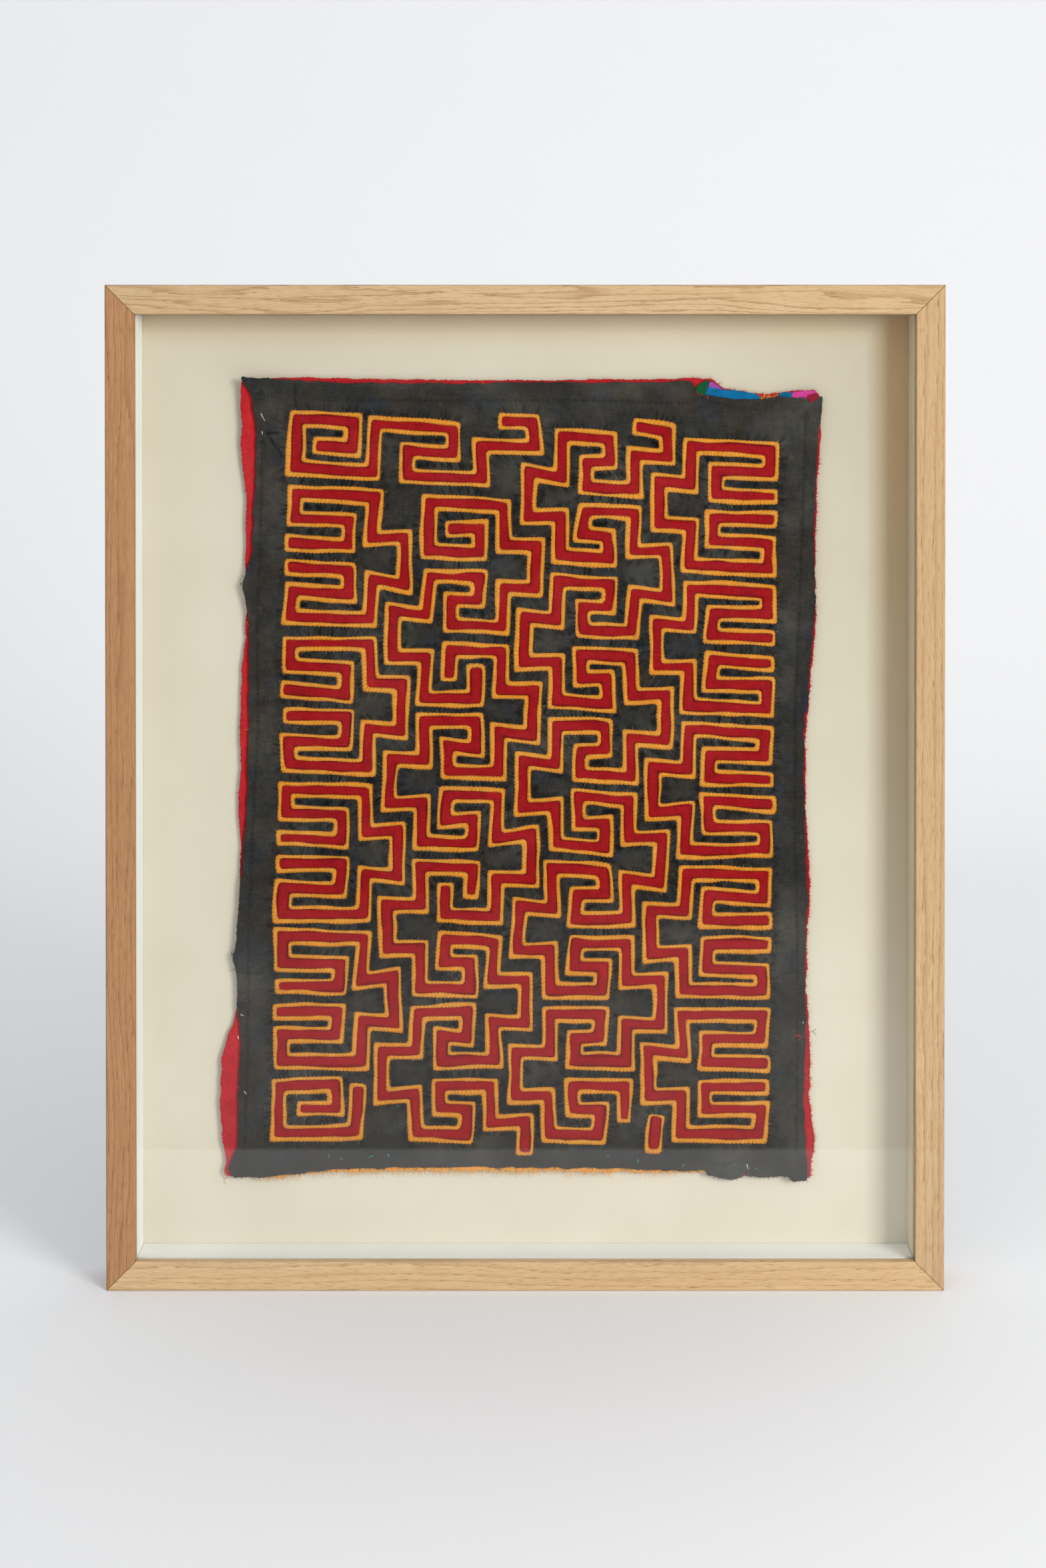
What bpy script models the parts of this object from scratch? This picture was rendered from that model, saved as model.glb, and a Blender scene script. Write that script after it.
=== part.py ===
"""Framed mola panel: three layers of cotton cut in a labyrinth, float mounted in a deep oak frame.

The panel stands on its bottom rail and faces -Y, with +X to the viewer's right and +Z up. The
origin lies under the middle of the frame. The cloth is reverse applique: a red base, an orange
middle layer cut through to the red along every lane of the labyrinth, and a black top layer cut
back further, so that an orange ribbon shows on both sides of each red lane.
"""

import math

import bmesh
import bpy
import numpy as np
from mathutils import Vector

MM = 0.001

# frame
FRAME_WIDTH = 500 * MM
FRAME_HEIGHT = 600 * MM
FRAME_DEPTH = 35 * MM
RAIL_FACE = 17.5 * MM
LIP_DEPTH = 5 * MM
LIP_OVERLAP = 5 * MM
ARRIS_RADIUS = 1.4 * MM
ARRIS_STEPS = 4
GAP = 0.3 * MM

# what lies in the rebate, from the front to the back
GLASS_THICKNESS = 2 * MM
SPACER_THICKNESS = LIP_OVERLAP - GAP
MOUNT_BOARD_THICKNESS = 1.7 * MM
MOUNT_BOARD_FRONT = 28.3 * MM
BACK_BOARD_THICKNESS = 3 * MM

# cloth
LAYER_THICKNESS = 1 * MM
RED_LANE_HALF_WIDTH = 2.5 * MM
CHANNEL_HALF_WIDTH = 5.15 * MM
HAND_CUT_SEED = 27
HAND_CUT_SPREAD = 0.55 * MM
HAND_CUT_MOST = 1.1 * MM

# places worked out from the sizes above
FRONT_Y = -FRAME_DEPTH / 2
INNER_WIDTH = FRAME_WIDTH - 2 * (RAIL_FACE - LIP_OVERLAP + GAP)
INNER_HEIGHT = FRAME_HEIGHT - 2 * (RAIL_FACE - LIP_OVERLAP + GAP)
MIDDLE_HEIGHT = FRAME_HEIGHT / 2
GLASS_FRONT = LIP_DEPTH + GAP
SPACER_FRONT = GLASS_FRONT + GLASS_THICKNESS + GAP
SPACER_DEPTH = MOUNT_BOARD_FRONT - GAP - SPACER_FRONT
BACK_BOARD_FRONT = MOUNT_BOARD_FRONT + MOUNT_BOARD_THICKNESS + GAP

# the labyrinth's chart, in lanes from its centre: half width of the chart, then the columns that
# the side combs turn at, from the outer edge to the notch that reaches inwards
COMB_END = 10.16
COMB_INNER = 7.8
COMB_BACK = 6.8
COMB_NOTCH = 5.4
SNAKE_CENTRE = 2.8
SNAKE_NOTCH = 3.0
SNAKE_SIDE = 1.6
SNAKE_TURN = 0.55
PERIOD = 6
RIGHT_COMB_HEIGHTS = (12, 6, 0, -6, -12)
LEFT_COMB_HEIGHTS = (9, 3, -3, -9)
SNAKE_TOP = 12
SNAKE_PERIODS = 5
# corners counted down a snake: where the left one starts, is broken twice, and where both end
LEFT_START = 10
LEFT_BREAKS = (27, 57)
SNAKE_END = 90

# the chart's outermost edges in lanes, and where hand cutting brought their corners: x, height
CHART_EDGE_X = 10.51
CHART_EDGE_Z = 14.85
CHART_TOP_LEFT = (-143.1 * MM, 525.0 * MM)
CHART_TOP_RIGHT = (153.6 * MM, 505.7 * MM)
CHART_BOTTOM_LEFT = (-155.4 * MM, 79.8 * MM)
CHART_BOTTOM_RIGHT = (147.8 * MM, 80.5 * MM)

# raw edges of the three layers, counterclockwise from the bottom left corner: x_mm, height_mm
BLACK_EDGE = (
    (-177, 59.5), (-159, 60), (-134, 62.4), (-110, 64.9), (-35, 65.8), (38, 65.3),
    (90, 63.8), (110.4, 64), (110, 61.5), (125, 58.3), (132, 60.6), (160.8, 60.3),
    (162, 57.6), (170.3, 59), (171, 70), (168.9, 103), (170.2, 152), (169.4, 180),
    (171.2, 236), (169.4, 273), (168.5, 325), (169.2, 340.8), (171.7, 344.5), (171.3, 358),
    (174, 390), (175.8, 410), (174.5, 449), (176.3, 495), (178.9, 531), (173, 529.8),
    (169.5, 532.6), (161.7, 532.8), (144, 531.2), (113, 532.5), (104.5, 535.5), (102.5, 543),
    (65, 542), (-100, 541.1), (-131, 542.5), (-147, 543.6), (-171.5, 545.5), (-165, 532.5),
    (-162.3, 511), (-162.3, 498), (-165.2, 441), (-169.4, 424), (-171, 419), (-169.4, 411),
    (-167.6, 394), (-167.2, 332), (-169.4, 273), (-172.3, 244), (-174.7, 206), (-177, 194),
    (-174.8, 182), (-174.7, 163), (-172.3, 138), (-174, 115), (-174.3, 80), (-179.5, 65),
)
ORANGE_EDGE = (
    (-164, 60), (-150, 59.5), (-138, 61.5), (-110, 63), (0, 63.6), (60, 62.8),
    (87, 62.5), (110, 62.6), (125, 60.4), (160, 61.8), (168, 62), (166.8, 103),
    (168, 236), (166.4, 330), (169.6, 348), (172.6, 410), (172.4, 449), (176, 529),
    (175.6, 534.4), (162, 534.8), (144, 533), (121, 536.6), (112, 542), (-35, 541.2),
    (-147, 542.2), (-168, 542.5), (-162.6, 530), (-160.4, 500), (-163.2, 441), (-168.6, 419),
    (-165.6, 394), (-165.2, 332), (-167.4, 273), (-172.6, 206), (-172.6, 163), (-170.3, 138),
    (-172.3, 80), (-173, 66),
)
RED_EDGE = (
    (-180, 60), (-160, 61.5), (-110, 65.4), (108, 65.4), (120, 61), (146, 60.6),
    (173, 60.4), (175.2, 83), (172.3, 105), (172.9, 140), (170.6, 180), (170.8, 208),
    (173, 236), (170.6, 273), (169.6, 323), (173.4, 366), (176.2, 398), (175.4, 426),
    (176.3, 480), (178.3, 500), (179.4, 528), (175, 537.4), (162, 536.4), (144.3, 534.4),
    (121, 538), (112.8, 544.3), (29, 543.3), (-35, 542.6), (-68, 543.7), (-147, 544.8),
    (-171, 543.2), (-172.2, 531), (-171.4, 517), (-172.3, 502), (-169, 474), (-169.4, 430),
    (-169.6, 385), (-171.5, 369), (-173.3, 323), (-172.4, 309), (-174, 285), (-172.9, 254),
    (-175.2, 161.5), (-177, 153.7), (-182, 143), (-184, 130), (-185, 100), (-182, 69),
    (-183, 62.5),
)

# scraps of other cloth that lie in the black layer's notch: name, colour, corners in mm
SCRAPS = (
    ("scrap_green", (0.01, 0.12, 0.07), ((105.3, 536), (111.2, 534.6), (111.6, 542.2), (107, 541.6))),
    ("scrap_violet", (0.30, 0.06, 0.28), ((112, 537), (119.4, 536), (119, 538.6), (113, 541.8))),
    ("scrap_blue", (0.02, 0.15, 0.33), ((113.4, 533.2), (140.6, 532.2), (140.6, 534.8), (121, 535.4),
                                        (113, 536.4))),
    ("scrap_blue_end", (0.02, 0.12, 0.30), ((154.6, 532.6), (161.4, 533.4), (161.2, 536), (155, 536.2))),
    ("scrap_pink", (0.60, 0.05, 0.30), ((162, 533.4), (169.4, 533.4), (176.6, 534.6), (175, 537.2),
                                        (162.6, 536.2))),
    ("scrap_wine", (0.10, 0.01, 0.03), ((170.6, 532.4), (173.2, 530.4), (177.8, 531.5), (177.4, 534),
                                        (172, 533.4))),
)

# soft bends of the stack away from the mount board. Each starts at a point and runs inwards in a
# direction; its rows say how far the cloth is lifted at each distance, in straight stretches
# name: start x_mm, start height_mm, direction in degrees, ((distance_mm, lift_mm), ...)
BENDS = (
    ("left edge", -186, 300, -1.5, ((0, 3.4), (10, 1.9), (19, 0.5), (27, 0))),
    ("right edge", 181, 300, 181.0, ((0, 2.2), (7, 1.0), (15, 0))),
    ("bottom edge", 0, 56, 90.5, ((0, 2.6), (8, 1.2), (18, 0))),
    ("top edge", 0, 547, 270.0, ((0, 1.6), (8, 0.5), (15, 0))),
    ("top left corner", -172, 546, -42.0, ((0, 2.4), (13, 1.0), (20, 1.2), (31, 0))),
    ("bottom right corner", 172, 57, 140.0, ((0, 1.8), (12, 0.4), (20, 0))),
)


def start_empty():
    """Take every object of the start-up scene away."""
    for item in list(bpy.data.objects):
        bpy.data.objects.remove(item, do_unlink=True)


def new_collection(name):
    collection = bpy.data.collections.new(name)
    bpy.context.scene.collection.children.link(collection)
    return collection


def material(name, colour, roughness, alpha=1.0):
    """A plain Principled material; colour is linear red, green and blue."""
    made = bpy.data.materials.new(name)
    made.use_nodes = True
    shader = made.node_tree.nodes["Principled BSDF"]
    shader.inputs["Base Color"].default_value = (*colour, 1.0)
    shader.inputs["Roughness"].default_value = roughness
    shader.inputs["Metallic"].default_value = 0.0
    shader.inputs["Alpha"].default_value = alpha
    made.diffuse_color = (*colour, alpha)
    return made


def add_part(collection, name, mesh, look):
    """Put a mesh in the collection as one named object with its own material."""
    part = bpy.data.objects.new(name, mesh)
    collection.objects.link(part)
    if part.data.materials:
        part.data.materials[0] = look
    else:
        part.data.materials.append(look)
    return part


def extruded_outline(name, outline, holes, half_thickness):
    """A closed mesh of a flat outline with holes, cut in local X and Y and centred on Z = 0."""
    curve = bpy.data.curves.new(name, "CURVE")
    curve.dimensions = "2D"
    curve.fill_mode = "BOTH"
    curve.extrude = half_thickness
    for ring in (outline, *holes):
        spline = curve.splines.new("POLY")
        spline.points.add(len(ring) - 1)
        for point, (x, y) in zip(spline.points, ring):
            point.co = (x, y, 0.0, 1.0)
        spline.use_cyclic_u = True
    guide = bpy.data.objects.new(name, curve)
    bpy.context.scene.collection.objects.link(guide)
    evaluated = guide.evaluated_get(bpy.context.evaluated_depsgraph_get())
    mesh = bpy.data.meshes.new_from_object(evaluated)
    bpy.data.objects.remove(guide, do_unlink=True)
    mesh.name = name
    work = bmesh.new()
    work.from_mesh(mesh)
    bmesh.ops.remove_doubles(work, verts=work.verts, dist=0.000001)
    bmesh.ops.recalc_face_normals(work, faces=work.faces)
    work.to_mesh(mesh)
    work.free()
    return mesh


def rail_profile():
    """The rebated section: x runs inwards from the outer edge, y back from the front face."""
    points = []
    for step in range(ARRIS_STEPS + 1):
        turn = math.pi / 2 * step / ARRIS_STEPS
        points.append((ARRIS_RADIUS * (1 - math.cos(turn)), ARRIS_RADIUS * (1 - math.sin(turn))))
    inner = ARRIS_RADIUS / 2
    for step in range(ARRIS_STEPS + 1):
        turn = math.pi / 2 * step / ARRIS_STEPS
        across = RAIL_FACE - inner * (1 - math.sin(turn))
        points.append((across, inner * (1 - math.cos(turn))))
    points.append((RAIL_FACE, LIP_DEPTH))
    points.append((RAIL_FACE - LIP_OVERLAP, LIP_DEPTH))
    points.append((RAIL_FACE - LIP_OVERLAP, FRAME_DEPTH))
    points.append((0.0, FRAME_DEPTH))
    return points


def rail_mesh(name, length):
    """The section carried along Z, with both ends slid inwards by their distance across: mitres."""
    mesh = extruded_outline(name, rail_profile(), (), length / 2)
    for corner in mesh.vertices:
        end = math.copysign(1.0, corner.co.z)
        corner.co.z = end * (length / 2 - corner.co.x - GAP / math.sqrt(2))
    return mesh


def build_frame(collection):
    """Four mitred rails; the upright pair shares one mesh and the level pair another."""
    upright = rail_mesh("upright rail", FRAME_HEIGHT)
    level = rail_mesh("level rail", FRAME_WIDTH)
    half = FRAME_WIDTH / 2
    places = (
        ("rail_left", upright, (-half, FRONT_Y, MIDDLE_HEIGHT), 0, (0.47, 0.30, 0.17)),
        ("rail_bottom", level, (0, FRONT_Y, 0), -90, (0.62, 0.43, 0.24)),
        ("rail_right", upright, (half, FRONT_Y, MIDDLE_HEIGHT), 180, (0.62, 0.45, 0.27)),
        ("rail_top", level, (0, FRONT_Y, FRAME_HEIGHT), 90, (0.60, 0.43, 0.23)),
    )
    for name, mesh, place, turn, colour in places:
        rail = add_part(collection, name, mesh.copy(), material(name, colour, 0.5))
        rail.location = place
        rail.rotation_euler = (0, math.radians(turn), 0)


def plain_box(collection, name, size, low_front_centre, look):
    """A box given by its size and the middle of its lower front edge."""
    bpy.ops.mesh.primitive_cube_add(size=1)
    box = bpy.context.active_object
    box.name = name
    box.data.name = name
    box.scale = size
    bpy.ops.object.transform_apply(location=False, rotation=False, scale=True)
    box.location = Vector(low_front_centre) + Vector((0, size[1] / 2, size[2] / 2))
    box.data.materials.append(look)
    for holder in list(box.users_collection):
        holder.objects.unlink(box)
    collection.objects.link(box)


def build_rebate(collection):
    """Glass, spacers, mount board and back board, one behind the other in the rebate."""
    low = MIDDLE_HEIGHT - INNER_HEIGHT / 2
    sheets = (
        ("glass", GLASS_FRONT, GLASS_THICKNESS, material("glass", (0.9, 0.93, 0.9), 0.05, 0.15)),
        ("mount_board", MOUNT_BOARD_FRONT, MOUNT_BOARD_THICKNESS,
         material("mount board", (0.74, 0.68, 0.54), 0.85)),
        ("back_board", BACK_BOARD_FRONT, BACK_BOARD_THICKNESS,
         material("back board", (0.32, 0.20, 0.11), 0.7)),
    )
    for name, depth, thickness, look in sheets:
        size = (INNER_WIDTH, thickness, INNER_HEIGHT)
        plain_box(collection, name, size, (0, FRONT_Y + depth, low), look)
    front = FRONT_Y + SPACER_FRONT
    side_x = (INNER_WIDTH - SPACER_THICKNESS) / 2
    across = INNER_WIDTH - 2 * (SPACER_THICKNESS + GAP)
    top = low + INNER_HEIGHT - SPACER_THICKNESS
    upright_size = (SPACER_THICKNESS, SPACER_DEPTH, INNER_HEIGHT)
    level_size = (across, SPACER_DEPTH, SPACER_THICKNESS)
    for name, size, x, height in (
        ("spacer_left", upright_size, -side_x, low),
        ("spacer_right", upright_size, side_x, low),
        ("spacer_bottom", level_size, 0, low),
        ("spacer_top", level_size, 0, top),
    ):
        white = material(name, (0.82, 0.83, 0.77), 0.8)
        plain_box(collection, name, size, (x, front, height), white)


def comb_lane(height, side):
    """One side motif: three tines joined at the back, with a notch that reaches inwards."""
    half = (
        (COMB_END, 0.5), (COMB_INNER, 0.5), (COMB_INNER, 1.5), (COMB_END, 1.5),
        (COMB_END, 2.5), (COMB_BACK, 2.5), (COMB_BACK, 0.85), (COMB_NOTCH, 0.95),
    )
    whole = list(half) + [(x, -z) for x, z in reversed(half)]
    return [(side * x, height + z) for x, z in whole]


def snake_lane(centre):
    """The long lane of one middle column, which folds back and forth down all its periods."""
    period = (
        (-SNAKE_SIDE, 0.85), (-SNAKE_NOTCH, 0.95), (-SNAKE_NOTCH, -0.95), (-SNAKE_SIDE, -0.85),
        (-SNAKE_SIDE, -2.5), (SNAKE_TURN, -2.5), (SNAKE_TURN, -1.5), (-SNAKE_TURN, -1.5),
        (-SNAKE_TURN, -0.5), (SNAKE_SIDE, -0.5), (SNAKE_SIDE, -2.15), (SNAKE_NOTCH, -2.05),
        (SNAKE_NOTCH, -3.95), (SNAKE_SIDE, -3.85), (SNAKE_SIDE, -5.5), (-SNAKE_TURN, -5.5),
        (-SNAKE_TURN, -4.5), (SNAKE_TURN, -4.5), (SNAKE_TURN, -3.5), (-SNAKE_SIDE, -3.5),
    )
    lane = []
    for count in range(SNAKE_PERIODS):
        height = SNAKE_TOP - PERIOD * count
        lane += [(centre + x, height + z) for x, z in period]
    return lane


def chart_lanes():
    """Every lane of the labyrinth as corners in lanes: combs, snakes, and the end rows' hooks."""
    lanes = [comb_lane(height, 1) for height in RIGHT_COMB_HEIGHTS]
    lanes += [comb_lane(height, -1) for height in LEFT_COMB_HEIGHTS]
    right = snake_lane(SNAKE_CENTRE)
    right_hook = [
        (4.6, 15.0), (5.75, 15.0), (5.75, 13.95), (4.4, 13.95), (4.4, 12.5),
        (2.3, 12.5), (2.3, 13.5), (3.35, 13.5), (3.35, 14.5), (1.2, 14.5),
    ]
    lanes.append(right_hook + right[:SNAKE_END] + [(4.4, -13.7)])
    left = snake_lane(-SNAKE_CENTRE)
    left_hook = [(-3.4, 10.5), (-2.25, 10.5), (-2.25, 9.5), (-4.4, 9.5), (-4.4, 11.5), (-1.2, 11.5)]
    upper, lower = LEFT_BREAKS
    lanes.append(left_hook + left[LEFT_START:upper])
    lanes.append(left[upper:lower])
    lanes.append(left[lower:SNAKE_END] + [(-1.2, -14.1), (0.2, -14.05), (0.2, -15.0)])
    lanes.append([
        (-9.1, 13.5), (-7.8, 13.5), (-7.8, 14.5), (-COMB_END, 14.5), (-COMB_END, 12.5),
        (-6.8, 12.5), (-6.8, 14.5), (-3.4, 14.5), (-3.4, 13.5), (-5.4, 13.5), (-5.4, 12.5),
        (-2.2, 12.5), (-2.2, 13.95), (0, 13.95), (0, 15.0), (-1.15, 15.0),
    ])
    lanes.append([
        (-9.1, -13.5), (-7.8, -13.5), (-7.8, -12.5), (-COMB_END, -12.5), (-COMB_END, -14.5),
        (-6.8, -14.5), (-6.8, -12.8),
    ])
    lanes.append([(5.75, -14.0), (5.75, -15.0)])
    return lanes


def hand_cut(lanes):
    """Carry the chart onto the cloth, between its four corners, with small seeded slips."""
    chance = np.random.default_rng(HAND_CUT_SEED)
    placed = []
    for lane in lanes:
        lane = np.array(lane)
        across = ((lane[:, 0] / CHART_EDGE_X + 1) / 2)[:, None]
        up = ((lane[:, 1] / CHART_EDGE_Z + 1) / 2)[:, None]
        top = (1 - across) * np.array(CHART_TOP_LEFT) + across * np.array(CHART_TOP_RIGHT)
        bottom = (1 - across) * np.array(CHART_BOTTOM_LEFT) + across * np.array(CHART_BOTTOM_RIGHT)
        slip = chance.normal(0.0, HAND_CUT_SPREAD, lane.shape)
        placed.append((1 - up) * bottom + up * top + np.clip(slip, -HAND_CUT_MOST, HAND_CUT_MOST))
    return placed


def lane_outline(lane, half_width):
    """The closed outline at a distance from a lane: mitred at its corners, square at its ends."""
    steps = np.diff(lane, axis=0)
    steps /= np.linalg.norm(steps, axis=1)[:, None]
    before = np.vstack((steps[:1], steps))
    after = np.vstack((steps, steps[-1:]))
    normal = np.stack((-before[:, 1], before[:, 0]), axis=1)
    normal_after = np.stack((-after[:, 1], after[:, 0]), axis=1)
    both = normal + normal_after
    mitre = both / (1 + np.sum(normal * normal_after, axis=1))[:, None]
    centre = lane.copy()
    centre[0] -= half_width * steps[0]
    centre[-1] += half_width * steps[-1]
    left = centre + half_width * mitre
    right = centre - half_width * mitre
    return np.vstack((left, right[::-1]))


def bend_cloth(mesh):
    """Split the sheet along every bend's lines, then lift it in straight stretches between them."""
    work = bmesh.new()
    work.from_mesh(mesh)
    for name, x, height, degrees, rows in BENDS:
        start = Vector((x * MM, height * MM, 0))
        inwards = Vector((math.cos(math.radians(degrees)), math.sin(math.radians(degrees)), 0))
        for distance, lift in rows:
            everything = list(work.verts) + list(work.edges) + list(work.faces)
            place = start + inwards * (distance * MM)
            bmesh.ops.bisect_plane(work, geom=everything, dist=0.000001, plane_co=place, plane_no=inwards)
    for corner in work.verts:
        lifted = 0.0
        for name, x, height, degrees, rows in BENDS:
            start = Vector((x * MM, height * MM, 0))
            inwards = Vector((math.cos(math.radians(degrees)), math.sin(math.radians(degrees)), 0))
            distance = (Vector((corner.co.x, corner.co.y, 0)) - start).dot(inwards)
            table = np.array(rows) * MM
            lifted += float(np.interp(distance, table[:, 0], table[:, 1]))
        corner.co.z += lifted
    bmesh.ops.triangulate(work, faces=work.faces)
    work.to_mesh(mesh)
    work.free()


def add_layer(collection, name, edge, holes, level, look):
    """One layer of cloth; level counts the layers under it, from 0 on the mount board."""
    outline = [(x * MM, height * MM) for x, height in edge]
    mesh = extruded_outline(name, outline, holes, LAYER_THICKNESS / 2)
    bend_cloth(mesh)
    layer = add_part(collection, name, mesh, look)
    rise = GAP + LAYER_THICKNESS / 2 + level * (LAYER_THICKNESS + GAP)
    layer.location = (0, FRONT_Y + MOUNT_BOARD_FRONT - rise, 0)
    layer.rotation_euler = (math.radians(90), 0, 0)


def build_cloth(collection):
    """The three layers from the mount board up, and the scraps in the top layer's notch."""
    lanes = hand_cut(chart_lanes())
    red_cuts = [lane_outline(lane, RED_LANE_HALF_WIDTH) for lane in lanes]
    channel_cuts = [lane_outline(lane, CHANNEL_HALF_WIDTH) for lane in lanes]
    red = material("red cotton", (0.37, 0.018, 0.022), 0.9)
    orange = material("orange cotton", (0.64, 0.26, 0.022), 0.9)
    black = material("black cotton", (0.028, 0.030, 0.027), 0.9)
    add_layer(collection, "red_base_cloth", RED_EDGE, (), 0, red)
    add_layer(collection, "orange_middle_cloth", ORANGE_EDGE, red_cuts, 1, orange)
    add_layer(collection, "black_top_cloth", BLACK_EDGE, channel_cuts, 2, black)
    for name, colour, corners in SCRAPS:
        add_layer(collection, name, corners, (), 2, material(name, colour, 0.9))


start_empty()
panel = new_collection("framed_mola_panel")
build_frame(panel)
build_rebate(panel)
build_cloth(panel)
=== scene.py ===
"""Looks of the framed mola panel: three hemmed layers of cotton behind glass in a deep oak frame.

Sizes are in metres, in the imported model's frame: the panel faces -Y, +X is to the viewer's right and
+Z is up. The labyrinth is the chart of the part's own source, repeated here, because the red lanes,
the orange ribbons and the black hems all follow its lanes.
"""

import math
from collections import namedtuple

import bpy
import numpy as np
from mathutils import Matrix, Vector
from mathutils.geometry import delaunay_2d_cdt


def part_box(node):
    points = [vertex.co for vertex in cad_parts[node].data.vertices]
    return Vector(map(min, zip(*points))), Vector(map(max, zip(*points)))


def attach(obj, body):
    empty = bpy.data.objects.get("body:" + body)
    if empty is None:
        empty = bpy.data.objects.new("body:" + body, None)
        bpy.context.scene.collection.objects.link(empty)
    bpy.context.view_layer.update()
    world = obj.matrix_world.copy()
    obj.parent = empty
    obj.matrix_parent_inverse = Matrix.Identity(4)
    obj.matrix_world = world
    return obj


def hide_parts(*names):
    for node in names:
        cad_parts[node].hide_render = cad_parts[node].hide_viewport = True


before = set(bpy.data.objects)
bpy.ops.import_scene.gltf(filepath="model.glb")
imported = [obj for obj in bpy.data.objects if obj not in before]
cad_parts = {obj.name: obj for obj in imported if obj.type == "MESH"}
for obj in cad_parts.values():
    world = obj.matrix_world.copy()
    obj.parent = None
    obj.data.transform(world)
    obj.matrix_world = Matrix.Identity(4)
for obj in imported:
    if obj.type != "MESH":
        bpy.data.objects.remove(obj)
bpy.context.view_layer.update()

MM = 0.001

# camera, from the photo's perspective: scale at the frame's front, height and distance of the lens
LENS_MM = 50
SENSOR_MM = 36
CAMERA_PLACE = (3 * MM, -1311.4 * MM, 544 * MM)
CAMERA_TILT = 89.5
CAMERA_SHIFT = (-0.0046, -0.2462)

# the cloth's levels in front of the mount board
BOARD_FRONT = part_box("mount_board")[0][1]
RED_SHEET_LEVEL = 1.15 * MM
RED_LANE_LEVEL = 1.35 * MM
RED_LANE_CROWN = 0.30 * MM
ORANGE_LEVEL = 2.10 * MM
BLACK_LEVEL = 3.20 * MM

# lanes, ribbons and hems
Ring = namedtuple("Ring", "inner outer across depth")
RED_HALF_WIDTH = 2.7 * MM
CHANNEL_HALF_WIDTH = 5.3 * MM
RED_UNDER_HALF_WIDTH = 3.6 * MM
STITCH_PITCH = 2.3 * MM
STATIONS_PER_STITCH = 4
INNER_ROUNDING = 1.5 * MM
OUTER_ROUNDING = 1.25 * MM
EDGE_WANDER = 0.28 * MM
EDGE_WANDER_LENGTH = 4.5 * MM
LANE_WANDER = 0.42 * MM
LANE_WANDER_LENGTH = 12 * MM
LEAST_RIBBON = 1.5 * MM
HEM_WIDTH = 0.95 * MM
HAND_CUT_SEED = 27
HAND_CUT_SPREAD = 0.55 * MM
HAND_CUT_MOST = 1.1 * MM
SEWING_SEED = 41
EDGE_STEP = 0.8 * MM
EDGE_ROUGHNESS = 0.16 * MM
EDGE_ROUNDING = 1.0 * MM
STITCH_SLIP = 0.28
STITCH_PULL = (0.55, 1.2)
STITCH_FORM = (1.0, 0.35, 0.0, 0.35)
STITCH_SLANT = 0.28
STITCH_CROWN = 0.16 * MM
RIBBON_TUCK = 0.6 * MM

# stitches over an edge: how far out each row of the arch lies, how high, and the thread's width
OVER_RED = ((0.62 * MM, 0.16 * MM, -0.20 * MM),
            (ORANGE_LEVEL + 0.22 * MM, ORANGE_LEVEL + 0.02 * MM, ORANGE_LEVEL - 0.5 * MM), 0.40 * MM)
OVER_ORANGE = ((0.50 * MM, 0.0, -0.42 * MM),
               (BLACK_LEVEL - 0.10 * MM, BLACK_LEVEL - 0.30 * MM, ORANGE_LEVEL + 0.3 * MM), 0.32 * MM)

# steps of the meshes: the grid in a scrap, and the stations of the red lanes and the threads
SCRAP_GRID = 0.8 * MM
SCRAP_EDGE_STEP = 0.35 * MM
SCRAP_EDGE_ROUGHNESS = 0.06 * MM
RED_LANE_STEP = 1.4 * MM
RED_LANE_ROWS = 5
RED_LANE_PUFF = 0.10 * MM
THREAD_POINTS = 5

# threads: how much they taper, and how high their ridge is against half their width; frays: tries at
# each point of an edge, how far inside it they start, how they scatter, and their lengths against the
# usual one; lint: how many bits, how they scatter, and their lengths, width and curl
THREAD_TAPER = 0.55
THREAD_RIDGE = 0.9
FRAY_TRIES = 4
FRAY_ROOT = 0.3 * MM
FRAY_SCATTER = 0.2 * MM
FRAY_HEIGHTS = (-0.3 * MM, 0.25 * MM)
FRAY_LENGTHS = (0.3, 2.6)
FRAY_CURL = 1.1
SCRAP_FRAY = (0.6 * MM, 0.26 * MM, 0.5)
SCRAP_FRAY_SHARE = 0.10
LINT_COUNT = 2200
LINT_SCATTER = 0.25 * MM
LINT_LENGTHS = (0.6, 1.9)
LINT_WIDTH = 0.15 * MM
LINT_RISE = 0.02 * MM
LINT_CURL = 1.4

# scale of the looks: the drawn weave, single threads, the oak's growth lines, the spacers' fibres
WEAVE_PITCH = 0.42 * MM
THREAD_WIDTH = 0.55 * MM
RING_WIDTH = 5 * MM
SPACER_GRAIN = 1.5 * MM

# painted shade of the rails on the mount board, in metres: each tone grows from the first place to the
# second
PAINTED_SHADE_UP = (0.10, 0.55)
PAINTED_SHADE_RIGHT = (0.08, 0.20)
PAINTED_SIDE_SHADE_UP = (0.10, 0.50)
PAINTED_BROWN_SHADE_RIGHT = (0.207, 0.222)
PAINTED_BROWN_SHADE_TOP = (0.563, 0.575)

# stage: the paper's near part, its curve up to the wall, and the dim floor that the pane mirrors
PAPER_FRONT = -0.245
PAPER_MIDDLE = 0.1
COVE_START = 1.1
COVE_RADIUS = 0.9
PAPER_TOP = 5.0
PAPER_REACH = 6.0
DIM_FLOOR_FRONT = -1.05
DIM_FLOOR_HEIGHT = 0.5 * MM

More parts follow.
